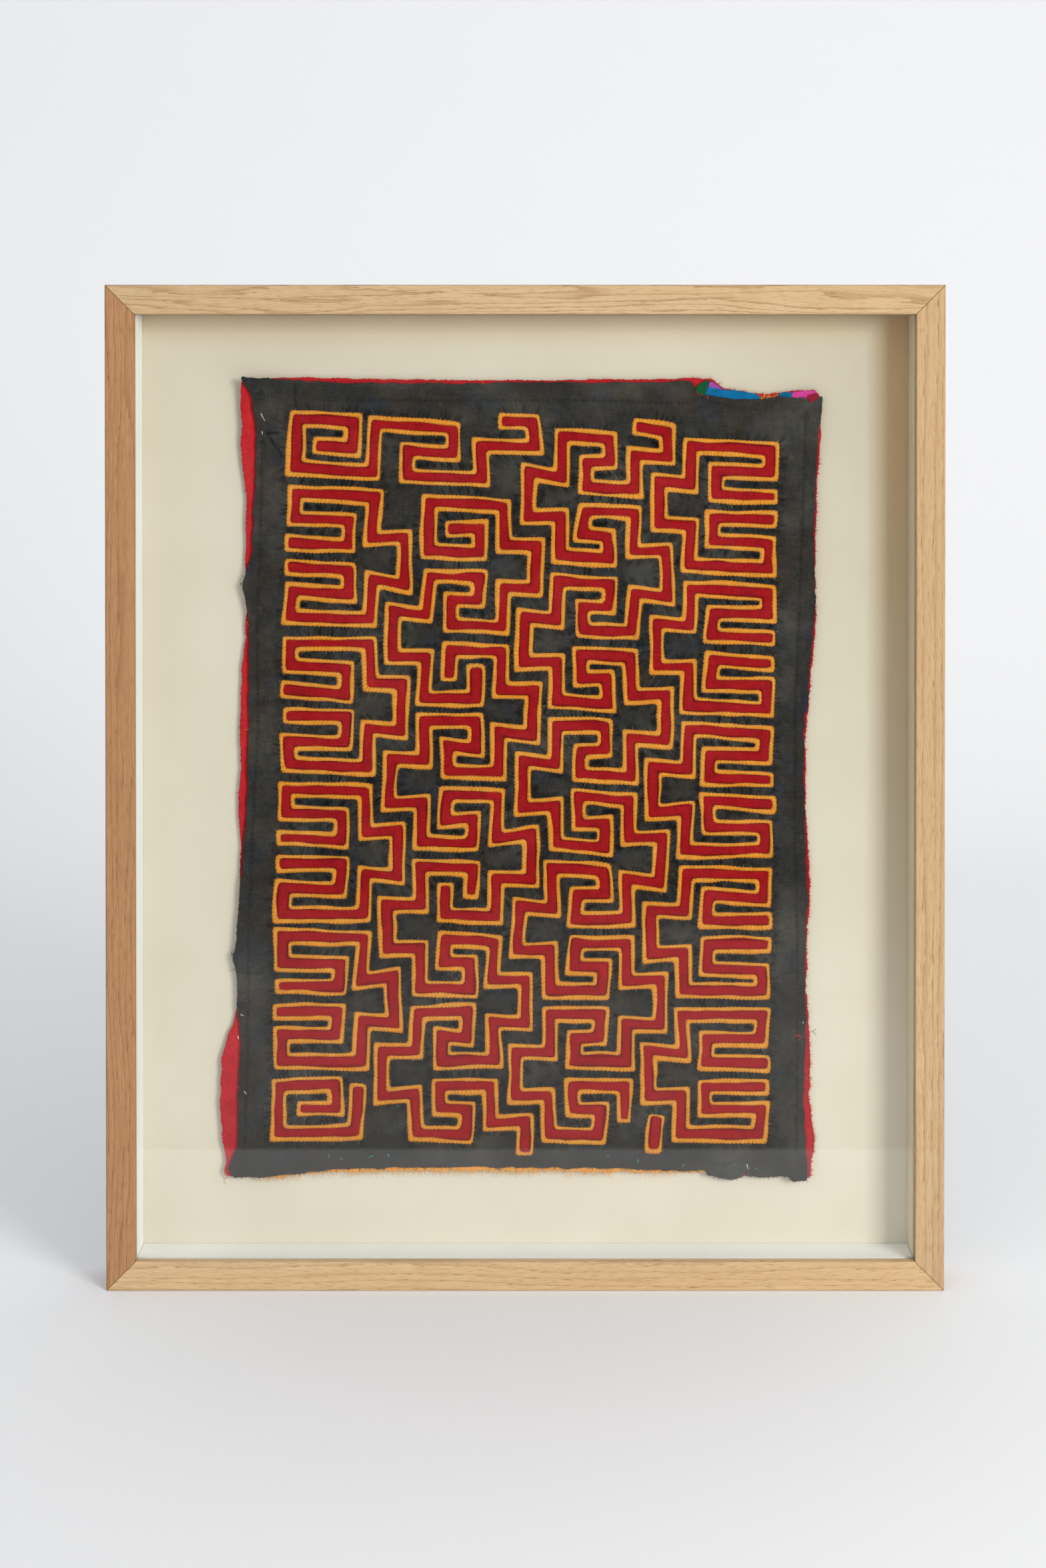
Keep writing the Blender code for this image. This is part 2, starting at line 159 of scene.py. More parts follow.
# the labyrinth's chart, in lanes from its centre, as in the part's source
COMB_END = 10.16
COMB_INNER = 7.8
COMB_BACK = 6.8
COMB_NOTCH = 5.4
SNAKE_CENTRE = 2.8
SNAKE_NOTCH = 3.0
SNAKE_SIDE = 1.6
SNAKE_TURN = 0.55
PERIOD = 6
RIGHT_COMB_HEIGHTS = (12, 6, 0, -6, -12)
LEFT_COMB_HEIGHTS = (9, 3, -3, -9)
SNAKE_TOP = 12
SNAKE_PERIODS = 5
LEFT_START = 10
LEFT_BREAKS = (27, 57)
SNAKE_END = 90
CHART_EDGE_X = 10.51
CHART_EDGE_Z = 14.85
CHART_TOP_LEFT = (-143.1 * MM, 525.0 * MM)
CHART_TOP_RIGHT = (153.6 * MM, 505.7 * MM)
CHART_BOTTOM_LEFT = (-155.4 * MM, 79.8 * MM)
CHART_BOTTOM_RIGHT = (147.8 * MM, 80.5 * MM)

# where sewing and creases pull the top layer down: a grid over the whole cloth
FIELD_STEP = 0.5 * MM
FIELD_CORNER = np.array((-192.0, 48.0)) * MM
FIELD_SHAPE = (768, 1010)
DENT_SOFTNESS = 0.44 * MM
DENT_SPACING = 0.3 * MM
DENT_REACH = (0.3 * MM, 4.5 * MM)
DENT_FADING = (1.0, 0.6)
LEAST_SHADE = 0.1
STRONG_STITCH = 0.87
WEAK_REACH = 1.3 * MM
WEAK_STITCH = 0.25
PUCKER_DEPTH = 0.66 * MM
PUCKER_SHADE = 0.84
DENT_MOST = 1.05
# creases of the top layer: ends in mm, depth against a stitch's
CREASES = (
    (-157.4, 511.8, -148.9, 510.9, 1.1), (-156.2, 510.6, -147.7, 498.2, 1.2),
    (-154.3, 521.0, -144.3, 515.7, 0.5), (-139.4, 541.0, -139.2, 526.5, 0.8),
    (-158.6, 508.0, -157.0, 492.0, 0.5), (-165.0, 536.0, -150.0, 533.0, 0.35),
    (112.0, 531.0, 128.0, 526.0, 0.5), (150.0, 470.5, 166.0, 470.0, 0.3),
    (152.0, 336.0, 168.0, 337.0, 0.4), (150.0, 289.0, 168.0, 290.0, 0.4),
    (-172.0, 183.5, -160.0, 184.0, 0.35), (-166.0, 331.0, -157.0, 330.0, 0.3),
    (96.0, 73.5, 118.0, 66.5, 0.6), (120.0, 66.0, 133.0, 72.0, 0.6),
    (-165.0, 437.0, -152.0, 441.0, 0.3), (-60.0, 534.5, -20.0, 533.8, 0.3),
)
# lines of old running stitches along the raw edges: places in mm that each line passes
RUNNING_LINES = (
    ((-159.8, 506), (-159.4, 480), (-160.4, 441), (-162.6, 400), (-162.0, 332), (-165.2, 273),
     (-168.0, 206), (-168.4, 138), (-171.0, 66)),
    ((169.6, 524), (168.2, 470), (166.2, 410), (163.8, 352), (163.2, 273), (165.2, 200), (164.6, 68)),
    ((-132, 531.8), (-60, 531.2), (20, 531.4), (100, 529.4)),
)
RUNNING_PITCH = 3.4 * MM
RUNNING_SLIPS = (-0.5 * MM, -0.2 * MM, 0.1 * MM, 0.4 * MM)
RUNNING_STITCH = 0.8
RUNNING_LINE = 0.26

# raw edges of the three layers, counterclockwise from the bottom left corner: x_mm, height_mm
BLACK_EDGE = (
    (-177, 59.5), (-159, 60), (-134, 62.4), (-110, 64.9), (-35, 65.8), (38, 65.3),
    (90, 63.8), (110.4, 64), (110, 61.5), (125, 58.3), (132, 60.6), (160.8, 60.3),
    (162, 57.6), (170.3, 59), (171, 70), (168.9, 103), (170.2, 152), (169.4, 180),
    (171.2, 236), (169.4, 273), (168.5, 325), (169.2, 340.8), (171.7, 344.5), (171.3, 358),
    (174, 390), (175.8, 410), (174.5, 449), (176.3, 495), (179.4, 533.6), (176.2, 532.6),
    (172.9, 529.4),
    (170.4, 532.4), (169.4, 533.2), (161.5, 532.8), (154.7, 533.6), (153, 534.2), (151.6, 533.2),
    (146.2, 531.9), (136, 531.6), (121.8, 532.4), (110.5, 534.2), (105.4, 534.2), (102.6, 537.6),
    (101.6, 542.6),
    (65, 542), (-100, 541.1), (-131, 542.5), (-147, 543.6), (-171.5, 545.5), (-165, 532.5),
    (-162.3, 511), (-162.3, 498), (-165.2, 441), (-169.4, 424), (-171, 419), (-169.4, 411),
    (-167.6, 394), (-167.2, 332), (-169.4, 273), (-172.3, 244), (-174.7, 206), (-177, 194),
    (-174.8, 182), (-174.7, 163), (-172.3, 138), (-174, 115), (-174.3, 80), (-179.5, 65),
)
ORANGE_EDGE = (
    (-164, 60), (-150, 59.5), (-138, 61.5), (-110, 63), (0, 63.6), (60, 62.8),
    (87, 62.5), (110, 62.6), (125, 60.4), (160, 61.8), (168, 62), (166.8, 103),
    (168, 236), (166.4, 330), (169.6, 348), (172.6, 410), (172.4, 449), (176, 529),
    (175.6, 534.4), (162, 534.8), (153, 532.2), (143, 531.4), (121, 534.6), (112, 537.4), (104, 535.4),
    (98, 540.0), (-35, 540.0), (-104, 539.4),
    (-147, 541.0), (-168, 542.5), (-162.6, 530), (-160.4, 500), (-163.2, 441), (-168.6, 419),
    (-165.6, 394), (-165.2, 332), (-167.4, 273), (-172.6, 206), (-172.6, 163), (-170.3, 138),
    (-172.3, 80), (-173, 66),
)
RED_EDGE = (
    (-180, 60), (-160, 61.5), (-110, 65.4), (108, 65.4), (120, 61), (146, 60.6),
    (173, 60.4), (175.2, 83), (172.3, 105), (172.9, 140), (170.6, 180), (170.8, 208),
    (173, 236), (170.6, 273), (169.6, 323), (173.4, 366), (176.2, 398), (175.4, 426),
    (176.3, 480), (178.3, 500), (179.4, 528), (175, 537.4), (162, 536.4), (144.3, 534.4),
    (121, 538), (112.8, 544.3), (29, 543.3), (-35, 542.6), (-68, 543.7), (-147, 544.8),
    (-171, 543.2), (-172.2, 531), (-171.4, 517), (-172.3, 502), (-169, 474), (-169.4, 430),
    (-169.6, 385), (-171.5, 369), (-173.3, 323), (-172.4, 309), (-174, 285), (-172.9, 254),
    (-175.2, 161.5), (-177, 153.7), (-182, 143), (-184, 130), (-185, 100), (-182, 69),
    (-183, 62.5),
)

# the scraps under the top layer's notch, which reach down behind it: node, material slot, hex
# colour, level above the orange layer in mm, corners in mm
SCRAPS = (
    ("scrap_violet", "violet_cotton", "#A350B4", 0.40,
     ((110, 530), (122, 530), (121.6, 536.4), (118.6, 538.6), (114.4, 541.6), (111.4, 542.4))),
    ("scrap_blue", "blue_cotton", "#0A6FA6", 0.55,
     ((108, 528), (142.6, 528), (141.8, 534.2), (134, 535.8), (129.6, 536.8), (121, 537.2),
      (114, 538.4), (109.6, 539.2))),
    ("scrap_green", "green_cotton", "#155A30", 0.70,
     ((102, 529), (115, 529), (110.2, 533.2), (109, 535.8), (110.2, 538.6), (112, 542.2), (110.4, 543.4),
      (105.2, 540.8), (102.8, 537.8))),
    ("scrap_blue_end", "blue_cotton", "#0F6A96", 0.40,
     ((150, 524), (164.4, 524), (162.6, 535.8), (156, 536.0), (153.6, 535.2))),
    ("scrap_pink", "pink_cotton", "#E2479F", 0.55,
     ((161.4, 525), (177, 525), (177.6, 535.0), (174.6, 537.0), (168, 536.8), (161.8, 535.9))),
    ("scrap_wine", "wine_cotton", "#9A2230", 1.35,
     ((172.8, 529.2), (175.4, 531.4), (178.2, 534.0), (176.2, 535.4), (170, 533.6), (170.8, 531.4))),
)
OVER_THE_PINK = "scrap_wine"

# soft bends of the stack, as in the part's source, at the left, right, bottom and top edge, the top
# left corner and the bottom right one: start x_mm, start height_mm, direction in degrees,
# ((distance_mm, lift_mm), ...)
BENDS = (
    (-186, 300, -1.5, ((0, 3.4), (10, 1.9), (19, 0.5), (27, 0))),
    (181, 300, 181.0, ((0, 2.2), (7, 1.0), (15, 0))),
    (0, 56, 90.5, ((0, 2.6), (8, 1.2), (18, 0))),
    (0, 547, 270.0, ((0, 1.6), (8, 0.5), (15, 0))),
    (-172, 546, -42.0, ((0, 2.4), (13, 1.0), (20, 1.2), (31, 0))),
    (172, 57, 140.0, ((0, 1.8), (12, 0.4), (20, 0))),
)
BEND_SOFTNESS = (-2.4 * MM, -1.2 * MM, 0.0, 1.2 * MM, 2.4 * MM)
# shallow ripples of the whole stack: wavelength_mm, direction in degrees, height_mm
RIPPLES = ((43, 12, 0.22), (31, 78, 0.20), (24, 131, 0.14), (67, 100, 0.25))

# where more threads fray out of a raw edge: from x_mm, height_mm to x_mm, height_mm, and how many more
BLACK_FRAYS = ((-180, 50, 175, 68, 0.5), (-181, 185, -170, 200, 0.5))
ORANGE_FRAYS = ((-166, 55, 92, 66, 0.95), (-98, 55, -58, 66, 1.0), (138, 529, 156, 536, 0.9))
RED_FRAYS = (
    (165, 460, 182, 500, 0.9), (165, 262, 180, 460, 0.45), (165, 190, 180, 262, 0.8),
    (165, 146, 180, 190, 0.5), (165, 58, 182, 146, 0.97), (100, 530, 180, 546, 0.4),
)

# the layers, top one first: name, raw edge, level, grid of the mesh, how far the edge turns back; what
# frays out of it: base share, places with more, length, height over the layer, width, lean; the looks
# of the cloth and of its threads, and what it rests on
Layer = namedtuple("Layer", (
    "name", "edge", "level", "grid", "drop", "share", "places", "length", "rise", "width", "lean",
    "look", "thread", "rests_on"))
LAYERS = (
    Layer("black_top", BLACK_EDGE, BLACK_LEVEL, 1.4 * MM, 0.9 * MM,
          0.05, BLACK_FRAYS, 0.9 * MM, -0.4 * MM, 0.26 * MM, 0.5,
          "faded black", "cotton sewing thread, black", "orange_middle_sheet"),
    Layer("orange_middle", ORANGE_EDGE, ORANGE_LEVEL, 6 * MM, 0.8 * MM,
          0.04, ORANGE_FRAYS, 2.0 * MM, -0.2 * MM, 0.26 * MM, 0.5,
          "orange", "frayed cotton thread, orange", "red_base_sheet"),
    Layer("red_base", RED_EDGE, RED_SHEET_LEVEL, 4 * MM, 0.9 * MM,
          0.008, RED_FRAYS, 0.8 * MM, 0.3 * MM, 0.34 * MM, 0.35,
          "unfaded red", "frayed cotton thread, red", "mount_board"),
)

# single loose threads: piece, look, material slot, height above the black layer in mm, width in mm, and
# rows of x_mm, height_mm, direction in degrees, length_mm, curl
LOOSE_THREADS = (
    ("white_basting", "white basting thread", "black_cotton", 0.15, 0.5, (
        (-159.7, 523.1, -74, 5.0, 0.3), (-159.3, 512.2, -80, 1.8, 0), (-172.6, 158.6, -60, 2.2, 1),
        (-174.2, 145.4, -80, 2.0, 0), (-170.6, 111.8, -70, 2.4, 0.6), (134.5, 67.5, -85, 3.0, 0.3),
        (168.4, 153.8, -60, 1.0, 0))),
    ("green_tufts", "green cotton thread", "green_cotton", 0.15, 0.6, (
        (-119.3, 71.7, 70, 1.6, 1), (-111.2, 70.1, 100, 2.0, 1.5), (-93.9, 71.7, 60, 1.8, -1),
        (-83, 71.7, 80, 2.2, 1), (50.7, 71.7, 120, 1.6, 1), (68.4, 68.5, 60, 2.2, 1.4),
        (95.1, 66.1, 20, 2.2, 1), (106, 63.3, 70, 2.0, 2), (-94.6, 71.2, 130, 1.2, 1),
        (128, 67.4, 150, 2.0, 1), (139, 65.2, 10, 1.8, -1))),
    ("dark_knots", "cotton sewing thread, black", "black_cotton", 0, 0.4, (
        (-176.5, 196, 150, 3.5, 2.5), (-176.2, 194.5, 200, 4.5, -2.6), (-175.8, 193, 230, 4.0, 2.2),
        (-176, 190, 250, 5.5, 1.2), (-175.4, 188, 265, 5.0, -1.4), (-171.4, 420.6, 170, 2.4, 2.2),
        (-171, 419.4, 200, 2.0, -2), (173.6, 148, 10, 3.4, 0.8), (174.6, 147.6, -10, 2.6, -1))),
    ("red_curls", "frayed cotton thread, red", "red_cotton", 0.2, 0.45, (
        (-180.5, 60.4, 160, 5.5, 2.8), (-181, 61.4, 120, 4.0, 3.2), (104, 536.5, 235, 5.5, 3.0),
        (109.5, 533.6, 20, 3.4, -2.6), (115, 541.5, -30, 4.5, 1.2), (113.6, 540.6, 80, 2.6, -2),
        (131.4, 60.6, 20, 2.6, 1), (134.5, 60.6, 80, 2.2, -1), (167.2, 145.8, 165, 4.2, 0.7),
        (167.6, 144.8, 185, 3.6, -0.8), (167.8, 144.2, 200, 2.8, 0.5), (152.5, 534.6, 70, 2.6, 2.4))),
)


def linear(hex_colour):
    """Linear red, green, blue and 1, from an sRGB hex colour."""
    srgb = np.array([int(hex_colour[place:place + 2], 16) for place in (1, 3, 5)]) / 255
    low = srgb / 12.92
    high = ((srgb + 0.055) / 1.055) ** 2.4
    return (*np.where(srgb <= 0.04045, low, high).tolist(), 1.0)


def add_node(tree, kind, settings=None, inputs=()):
    """Add a node. Settings are its properties. Inputs go by name, or are a tuple of the first ones.

    An input is a value, a socket that feeds it, or a node whose first output does.
    """
    made = tree.nodes.new(kind)
    for name, value in (settings or {}).items():
        setattr(made, name, value)
    for name, value in inputs.items() if isinstance(inputs, dict) else enumerate(inputs):
        source = value.outputs[0] if isinstance(value, bpy.types.Node) else value
        if isinstance(source, bpy.types.NodeSocket):
            tree.links.new(source, made.inputs[name])
        else:
            made.inputs[name].default_value = source
    return made


def empty_material(name):
    made = bpy.data.materials.new(name)
    made.use_nodes = True
    made.node_tree.nodes.clear()
    return made, made.node_tree


def surfaced(made, finish):
    """The material with its surface: a Principled shader that has the finish."""
    tree = made.node_tree
    shader = add_node(tree, "ShaderNodeBsdfPrincipled", inputs=finish)
    add_node(tree, "ShaderNodeOutputMaterial", inputs={"Surface": shader})
    return made


def tinted(tree, colour, layers, blend="MIX"):
    """A colour with others laid over it in turn; a layer is its share and its sRGB hex colour.

    The Mix node's colour sockets are its inputs 6 and 7 and its output 2.
    """
    settings = {"data_type": "RGBA", "blend_type": blend}
    for share, tint in layers:
        inputs = {0: share, 6: colour, 7: linear(tint)}
        colour = add_node(tree, "ShaderNodeMix", settings, inputs).outputs[2]
    return colour


def clumps(tree, place, size, ends, most=1.0, detail=3.0, roughness=0.55):
    """A share from 0 to most that changes over soft clumps about size metres across.

    It is noise, stretched so that the two ends become 0 and most, and held there.
    """
    soft = add_node(tree, "ShaderNodeTexNoise", inputs={
        "Vector": place, "Scale": 1 / size, "Detail": detail, "Roughness": roughness})
    return add_node(tree, "ShaderNodeMapRange", inputs=(soft, *ends, 0.0, most))


def thread_wave(tree, place, direction):
    """A sine across the threads, one period a thread; Blender's wave repeats at 0.314 / scale."""
    settings = {"wave_type": "BANDS", "bands_direction": direction, "wave_profile": "SIN"}
    inputs = {"Vector": place, "Scale": math.pi / 10 / WEAVE_PITCH, "Distortion": 0.6, "Detail": 1.0,
              "Detail Scale": 0.2}
    return add_node(tree, "ShaderNodeTexWave", settings, inputs).outputs[1]


def thread_streaks(tree, place, stretch):
    """Thick and thin stretches of single threads: noise drawn out along the threads of one way."""
    drawn = add_node(tree, "ShaderNodeMapping", inputs={"Vector": place, "Scale": stretch})
    return add_node(tree, "ShaderNodeTexNoise", inputs={
        "Vector": drawn, "Scale": 1 / THREAD_WIDTH, "Detail": 2.0, "Roughness": 0.6})


def cotton(name, plain, deep, worn, warm, cool, wear, slub):
    """Plain woven cotton, hand washed and faded: matt, with uneven threads and soft mottling.

    Real threads lie 0.25 to 0.3 mm apart; they are drawn 0.42 mm apart to show in the render. The
    shade attribute, from 0 to 1, paints shade into folds, rims, dents and stitch holes: it takes them to
    the deep colour.
    """
    made, tree = empty_material(name)
    place = add_node(tree, "ShaderNodeTexCoord").outputs["Object"]
    shade = add_node(tree, "ShaderNodeAttribute", {"attribute_name": "shade"}).outputs["Fac"]
    waves = (thread_wave(tree, place, "X"), thread_wave(tree, place, "Z"))
    weave = add_node(tree, "ShaderNodeMath", {"operation": "MULTIPLY"}, waves)
    streaks = [thread_streaks(tree, place, stretch) for stretch in ((1.0, 1.0, 0.10), (0.10, 1.0, 1.0))]
    slubs = add_node(tree, "ShaderNodeMath", {"operation": "ADD"}, streaks)
    colour = tinted(tree, linear(plain), (
        (clumps(tree, place, 21 * MM, (0.50, 0.72), 0.8, 2.0), warm),
        (clumps(tree, place, 15 * MM, (0.50, 0.72), 0.8, 2.0), cool),
        (clumps(tree, place, 38 * MM, (0.44, 0.70), wear), worn),
        (clumps(tree, place, 4.5 * MM, (0.38, 0.74), 0.28, 5.0, 0.65), deep),
        (add_node(tree, "ShaderNodeMapRange", inputs=(slubs, 1.02, 1.36, 0.0, slub)), worn),
        (add_node(tree, "ShaderNodeMapRange", inputs=(slubs, 0.98, 0.66, 0.0, slub)), deep),
        (add_node(tree, "ShaderNodeMapRange", inputs=(weave, 0.0, 1.0, 0.16, 0.0)), deep)))
    shaded = add_node(tree, "ShaderNodeMix", {"data_type": "RGBA"}, {
        0: shade, 6: linear(deep), 7: colour})
    bump = add_node(tree, "ShaderNodeBump", inputs={
        "Height": weave, "Distance": 0.05 * MM, "Strength": 0.8})
    return surfaced(made, {
        "Base Color": shaded.outputs[2], "Roughness": 0.92, "Normal": bump,
        "Specular IOR Level": 0.12, "Sheen Weight": 0.06, "Sheen Roughness": 0.5})


def spun_thread(name, colour, deep, patch=1.2 * MM):
    """Spun cotton sewing thread: matt, darker in patches along its length."""
    made, tree = empty_material(name)
    place = add_node(tree, "ShaderNodeTexCoord").outputs["Object"]
    tone = clumps(tree, place, patch, (0.40, 0.62), 1.0, 2.0)
    return surfaced(made, {
        "Base Color": tinted(tree, linear(colour), ((tone, deep),)), "Roughness": 0.85,
        "Specular IOR Level": 0.2})


def oak(name, along, light, dark, pore, waves, contrast):
    """Sanded oak under a thin matt wax: wavy growth lines, dark open pores along them, low sheen.

    The growth lines are level lines of the way across the rail plus a slow noise drawn out along it,
    about 5 mm apart on the face and dark on one side. A little of the fine grain makes them ragged.
    Pores are 0.2 mm wide in the wood and drawn 0.45 mm wide and 5 to 10 mm long.
    """
    made, tree = empty_material(name)
    place = add_node(tree, "ShaderNodeTexCoord").outputs["Object"]
    slow, fast = [
        add_node(tree, "ShaderNodeMapping", inputs={
            "Vector": place, "Scale": (drawn, 1.0, 1.0) if along == "X" else (1.0, 1.0, drawn)})
        for drawn in (0.07, 0.06)]
    growth = add_node(tree, "ShaderNodeTexNoise", inputs={
        "Vector": slow, "Scale": 1 / (15 * MM), "Detail": 2.0, "Roughness": 0.45, "Distortion": 0.25})
    grain = add_node(tree, "ShaderNodeTexNoise", inputs={
        "Vector": fast, "Scale": 1 / (0.9 * MM), "Detail": 3.0, "Roughness": 0.6})
    parts = add_node(tree, "ShaderNodeSeparateXYZ", inputs=(place,)).outputs
    across = parts["Z"] if along == "X" else parts["X"]
    uneven = add_node(tree, "ShaderNodeMapRange", inputs=(grain, 0.3, 0.7, 0.0, 0.3))
    times_and_plus = {"operation": "MULTIPLY_ADD"}
    count = add_node(tree, "ShaderNodeMath", times_and_plus, (across, 1 / RING_WIDTH, uneven))
    count = add_node(tree, "ShaderNodeMath", times_and_plus, (growth, waves, count))
    ring = add_node(tree, "ShaderNodeMath", {"operation": "FRACT"}, (count,))
    late = add_node(tree, "ShaderNodeMapRange", inputs=(ring, 0.0, 0.30, 1.0, 0.0))
    pores = clumps(tree, fast, 0.45 * MM, (0.58, 0.68), 1.0, 1.0)
    in_late = add_node(tree, "ShaderNodeMapRange", inputs=(late, 0.0, 1.0, 0.30, 0.90))
    colour = tinted(tree, linear(light), (
        (add_node(tree, "ShaderNodeMapRange", inputs=(late, 0.0, 1.0, 0.0, contrast)), pore),
        (clumps(tree, slow, 30 * MM, (0.38, 0.66), 0.35, 1.0), dark),
        (add_node(tree, "ShaderNodeMapRange", inputs=(grain, 0.35, 0.70, 0.0, 0.55)), dark),
        (add_node(tree, "ShaderNodeMath", {"operation": "MULTIPLY"}, (pores, in_late)), pore)))
    hollow = add_node(tree, "ShaderNodeMapRange", inputs=(pores, 0.0, 1.0, 1.0, 0.0))
    bump = add_node(tree, "ShaderNodeBump", inputs={
        "Height": hollow, "Distance": 0.08 * MM, "Strength": 0.5})
    return surfaced(made, {
        "Base Color": colour, "Roughness": 0.52, "Normal": bump, "Specular IOR Level": 0.4})


def painted_board_shade(tree, place, colour, brown):
    """Painted shade on the board: greyer towards the top and the right, brown within 12 to 17 mm of the
    oak.

    The brown is the rails' painted shadow, warm as if lit off the oak. It runs along the right and the
    top, and is strongest where the two meet.
    """
    parts = add_node(tree, "ShaderNodeSeparateXYZ", inputs=(place,)).outputs
    high = add_node(tree, "ShaderNodeMapRange", inputs=(parts["Z"], *PAINTED_SIDE_SHADE_UP, 0.0, 0.80))
    up = add_node(tree, "ShaderNodeMapRange", inputs=(parts["Z"], *PAINTED_SHADE_UP))
    beside = [
        add_node(tree, "ShaderNodeMath", {"operation": "MULTIPLY"}, (
            add_node(tree, "ShaderNodeMapRange", inputs=(parts["X"], *ends)), high))
        for ends in (PAINTED_SHADE_RIGHT, PAINTED_BROWN_SHADE_RIGHT)]
    below = add_node(tree, "ShaderNodeMapRange", inputs=(parts["Z"], *PAINTED_BROWN_SHADE_TOP, 0.0, 0.35))
    colour = tinted(tree, colour, ((up, "#F2F1EF"), (beside[0], "#EBEAE8")), "MULTIPLY")
    share = add_node(tree, "ShaderNodeMath", {"operation": "MAXIMUM"}, (beside[1], below))
    return tinted(tree, colour, ((share, brown),))


def board_paper(name, plain, deep, grain, brown=None):
    """Cotton rag mount board: matt, a faint fibrous grain, slightly uneven in tone.

    Where a brown is given, the rails' shade is painted on the board beside the oak.
    """
    made, tree = empty_material(name)
    place = add_node(tree, "ShaderNodeTexCoord").outputs["Object"]
    fibres = add_node(tree, "ShaderNodeTexNoise", inputs={
        "Vector": place, "Scale": 1 / grain, "Detail": 4.0, "Roughness": 0.7})
    colour = tinted(tree, linear(plain), (
        (clumps(tree, place, 60 * MM, (0.35, 0.70), 0.35, 2.0), deep),
        (add_node(tree, "ShaderNodeMapRange", inputs=(fibres, 0.40, 0.75, 0.0, 0.30)), deep)))
    bump = add_node(tree, "ShaderNodeBump", inputs={
        "Height": fibres, "Distance": 0.03 * MM, "Strength": 0.25})
    return surfaced(made, {
        "Base Color": painted_board_shade(tree, place, colour, brown) if brown else colour, "Roughness": 0.9,
        "Normal": bump, "Specular IOR Level": 0.25})


def float_glass():
    """Clear float glass: light passes, and each face mirrors 4 per cent head on and more edge on.

    The share is Schlick's: 0.04 + 0.96 times (1 - cosine) to the fifth power, the same from both
    sides, because the pane doesn't bend the rays that pass it.
    """
    made, tree = empty_material("clear float glass")
    edge_on = add_node(tree, "ShaderNodeLayerWeight", inputs={"Blend": 0.5}).outputs["Facing"]
    steep = add_node(tree, "ShaderNodeMath", {"operation": "POWER"}, (edge_on, 5.0))
    share = add_node(tree, "ShaderNodeMath", {"operation": "MULTIPLY_ADD"}, (steep, 0.96, 0.04))
    clear = add_node(tree, "ShaderNodeBsdfTransparent", inputs={"Color": linear("#FEFFFE")})
    mirror = add_node(tree, "ShaderNodeBsdfAnisotropic", inputs={
        "Color": linear("#FFFFFF"), "Roughness": 0.03})
    both = add_node(tree, "ShaderNodeMixShader", inputs=(share, clear, mirror))
    add_node(tree, "ShaderNodeOutputMaterial", inputs={"Surface": both})
    return made


def comb_lane(height, side):
    """One side motif: three tines joined at the back, with a notch that reaches inwards."""
    half = (
        (COMB_END, 0.5), (COMB_INNER, 0.5), (COMB_INNER, 1.5), (COMB_END, 1.5),
        (COMB_END, 2.5), (COMB_BACK, 2.5), (COMB_BACK, 0.85), (COMB_NOTCH, 0.95),
    )
    whole = list(half) + [(x, -z) for x, z in reversed(half)]
    return [(side * x, height + z) for x, z in whole]


def snake_lane(centre):
    """The long lane of one middle column, which folds back and forth down all its periods."""
    period = (
        (-SNAKE_SIDE, 0.85), (-SNAKE_NOTCH, 0.95), (-SNAKE_NOTCH, -0.95), (-SNAKE_SIDE, -0.85),
        (-SNAKE_SIDE, -2.5), (SNAKE_TURN, -2.5), (SNAKE_TURN, -1.5), (-SNAKE_TURN, -1.5),
        (-SNAKE_TURN, -0.5), (SNAKE_SIDE, -0.5), (SNAKE_SIDE, -2.15), (SNAKE_NOTCH, -2.05),
        (SNAKE_NOTCH, -3.95), (SNAKE_SIDE, -3.85), (SNAKE_SIDE, -5.5), (-SNAKE_TURN, -5.5),
        (-SNAKE_TURN, -4.5), (SNAKE_TURN, -4.5), (SNAKE_TURN, -3.5), (-SNAKE_SIDE, -3.5),
    )
    lane = []
    for count in range(SNAKE_PERIODS):
        height = SNAKE_TOP - PERIOD * count
        lane += [(centre + x, height + z) for x, z in period]
    return lane


def chart_lanes():
    """Every lane of the labyrinth as corners in lanes: combs, snakes, and the end rows' hooks."""
    lanes = [comb_lane(height, 1) for height in RIGHT_COMB_HEIGHTS]
    lanes += [comb_lane(height, -1) for height in LEFT_COMB_HEIGHTS]
    right = snake_lane(SNAKE_CENTRE)
    right_hook = [
        (4.6, 15.0), (5.75, 15.0), (5.75, 13.95), (4.4, 13.95), (4.4, 12.5),
        (2.3, 12.5), (2.3, 13.5), (3.35, 13.5), (3.35, 14.5), (1.2, 14.5),
    ]
    lanes.append(right_hook + right[:SNAKE_END] + [(4.4, -13.7)])
    left = snake_lane(-SNAKE_CENTRE)
    left_hook = [(-3.4, 10.5), (-2.25, 10.5), (-2.25, 9.5), (-4.4, 9.5), (-4.4, 11.5), (-1.2, 11.5)]
    upper, lower = LEFT_BREAKS
    lanes.append(left_hook + left[LEFT_START:upper])
    lanes.append(left[upper:lower])
    lanes.append(left[lower:SNAKE_END] + [(-1.2, -14.1), (0.2, -14.05), (0.2, -15.0)])
    lanes.append([
        (-9.1, 13.5), (-7.8, 13.5), (-7.8, 14.5), (-COMB_END, 14.5), (-COMB_END, 12.5),
        (-6.8, 12.5), (-6.8, 14.5), (-3.4, 14.5), (-3.4, 13.5), (-5.4, 13.5), (-5.4, 12.5),
        (-2.2, 12.5), (-2.2, 13.95), (0, 13.95), (0, 15.0), (-1.15, 15.0),
    ])
    lanes.append([
        (-9.1, -13.5), (-7.8, -13.5), (-7.8, -12.5), (-COMB_END, -12.5), (-COMB_END, -14.5),
        (-6.8, -14.5), (-6.8, -12.8),
    ])
    lanes.append([(5.75, -14.0), (5.75, -15.0)])
    return lanes


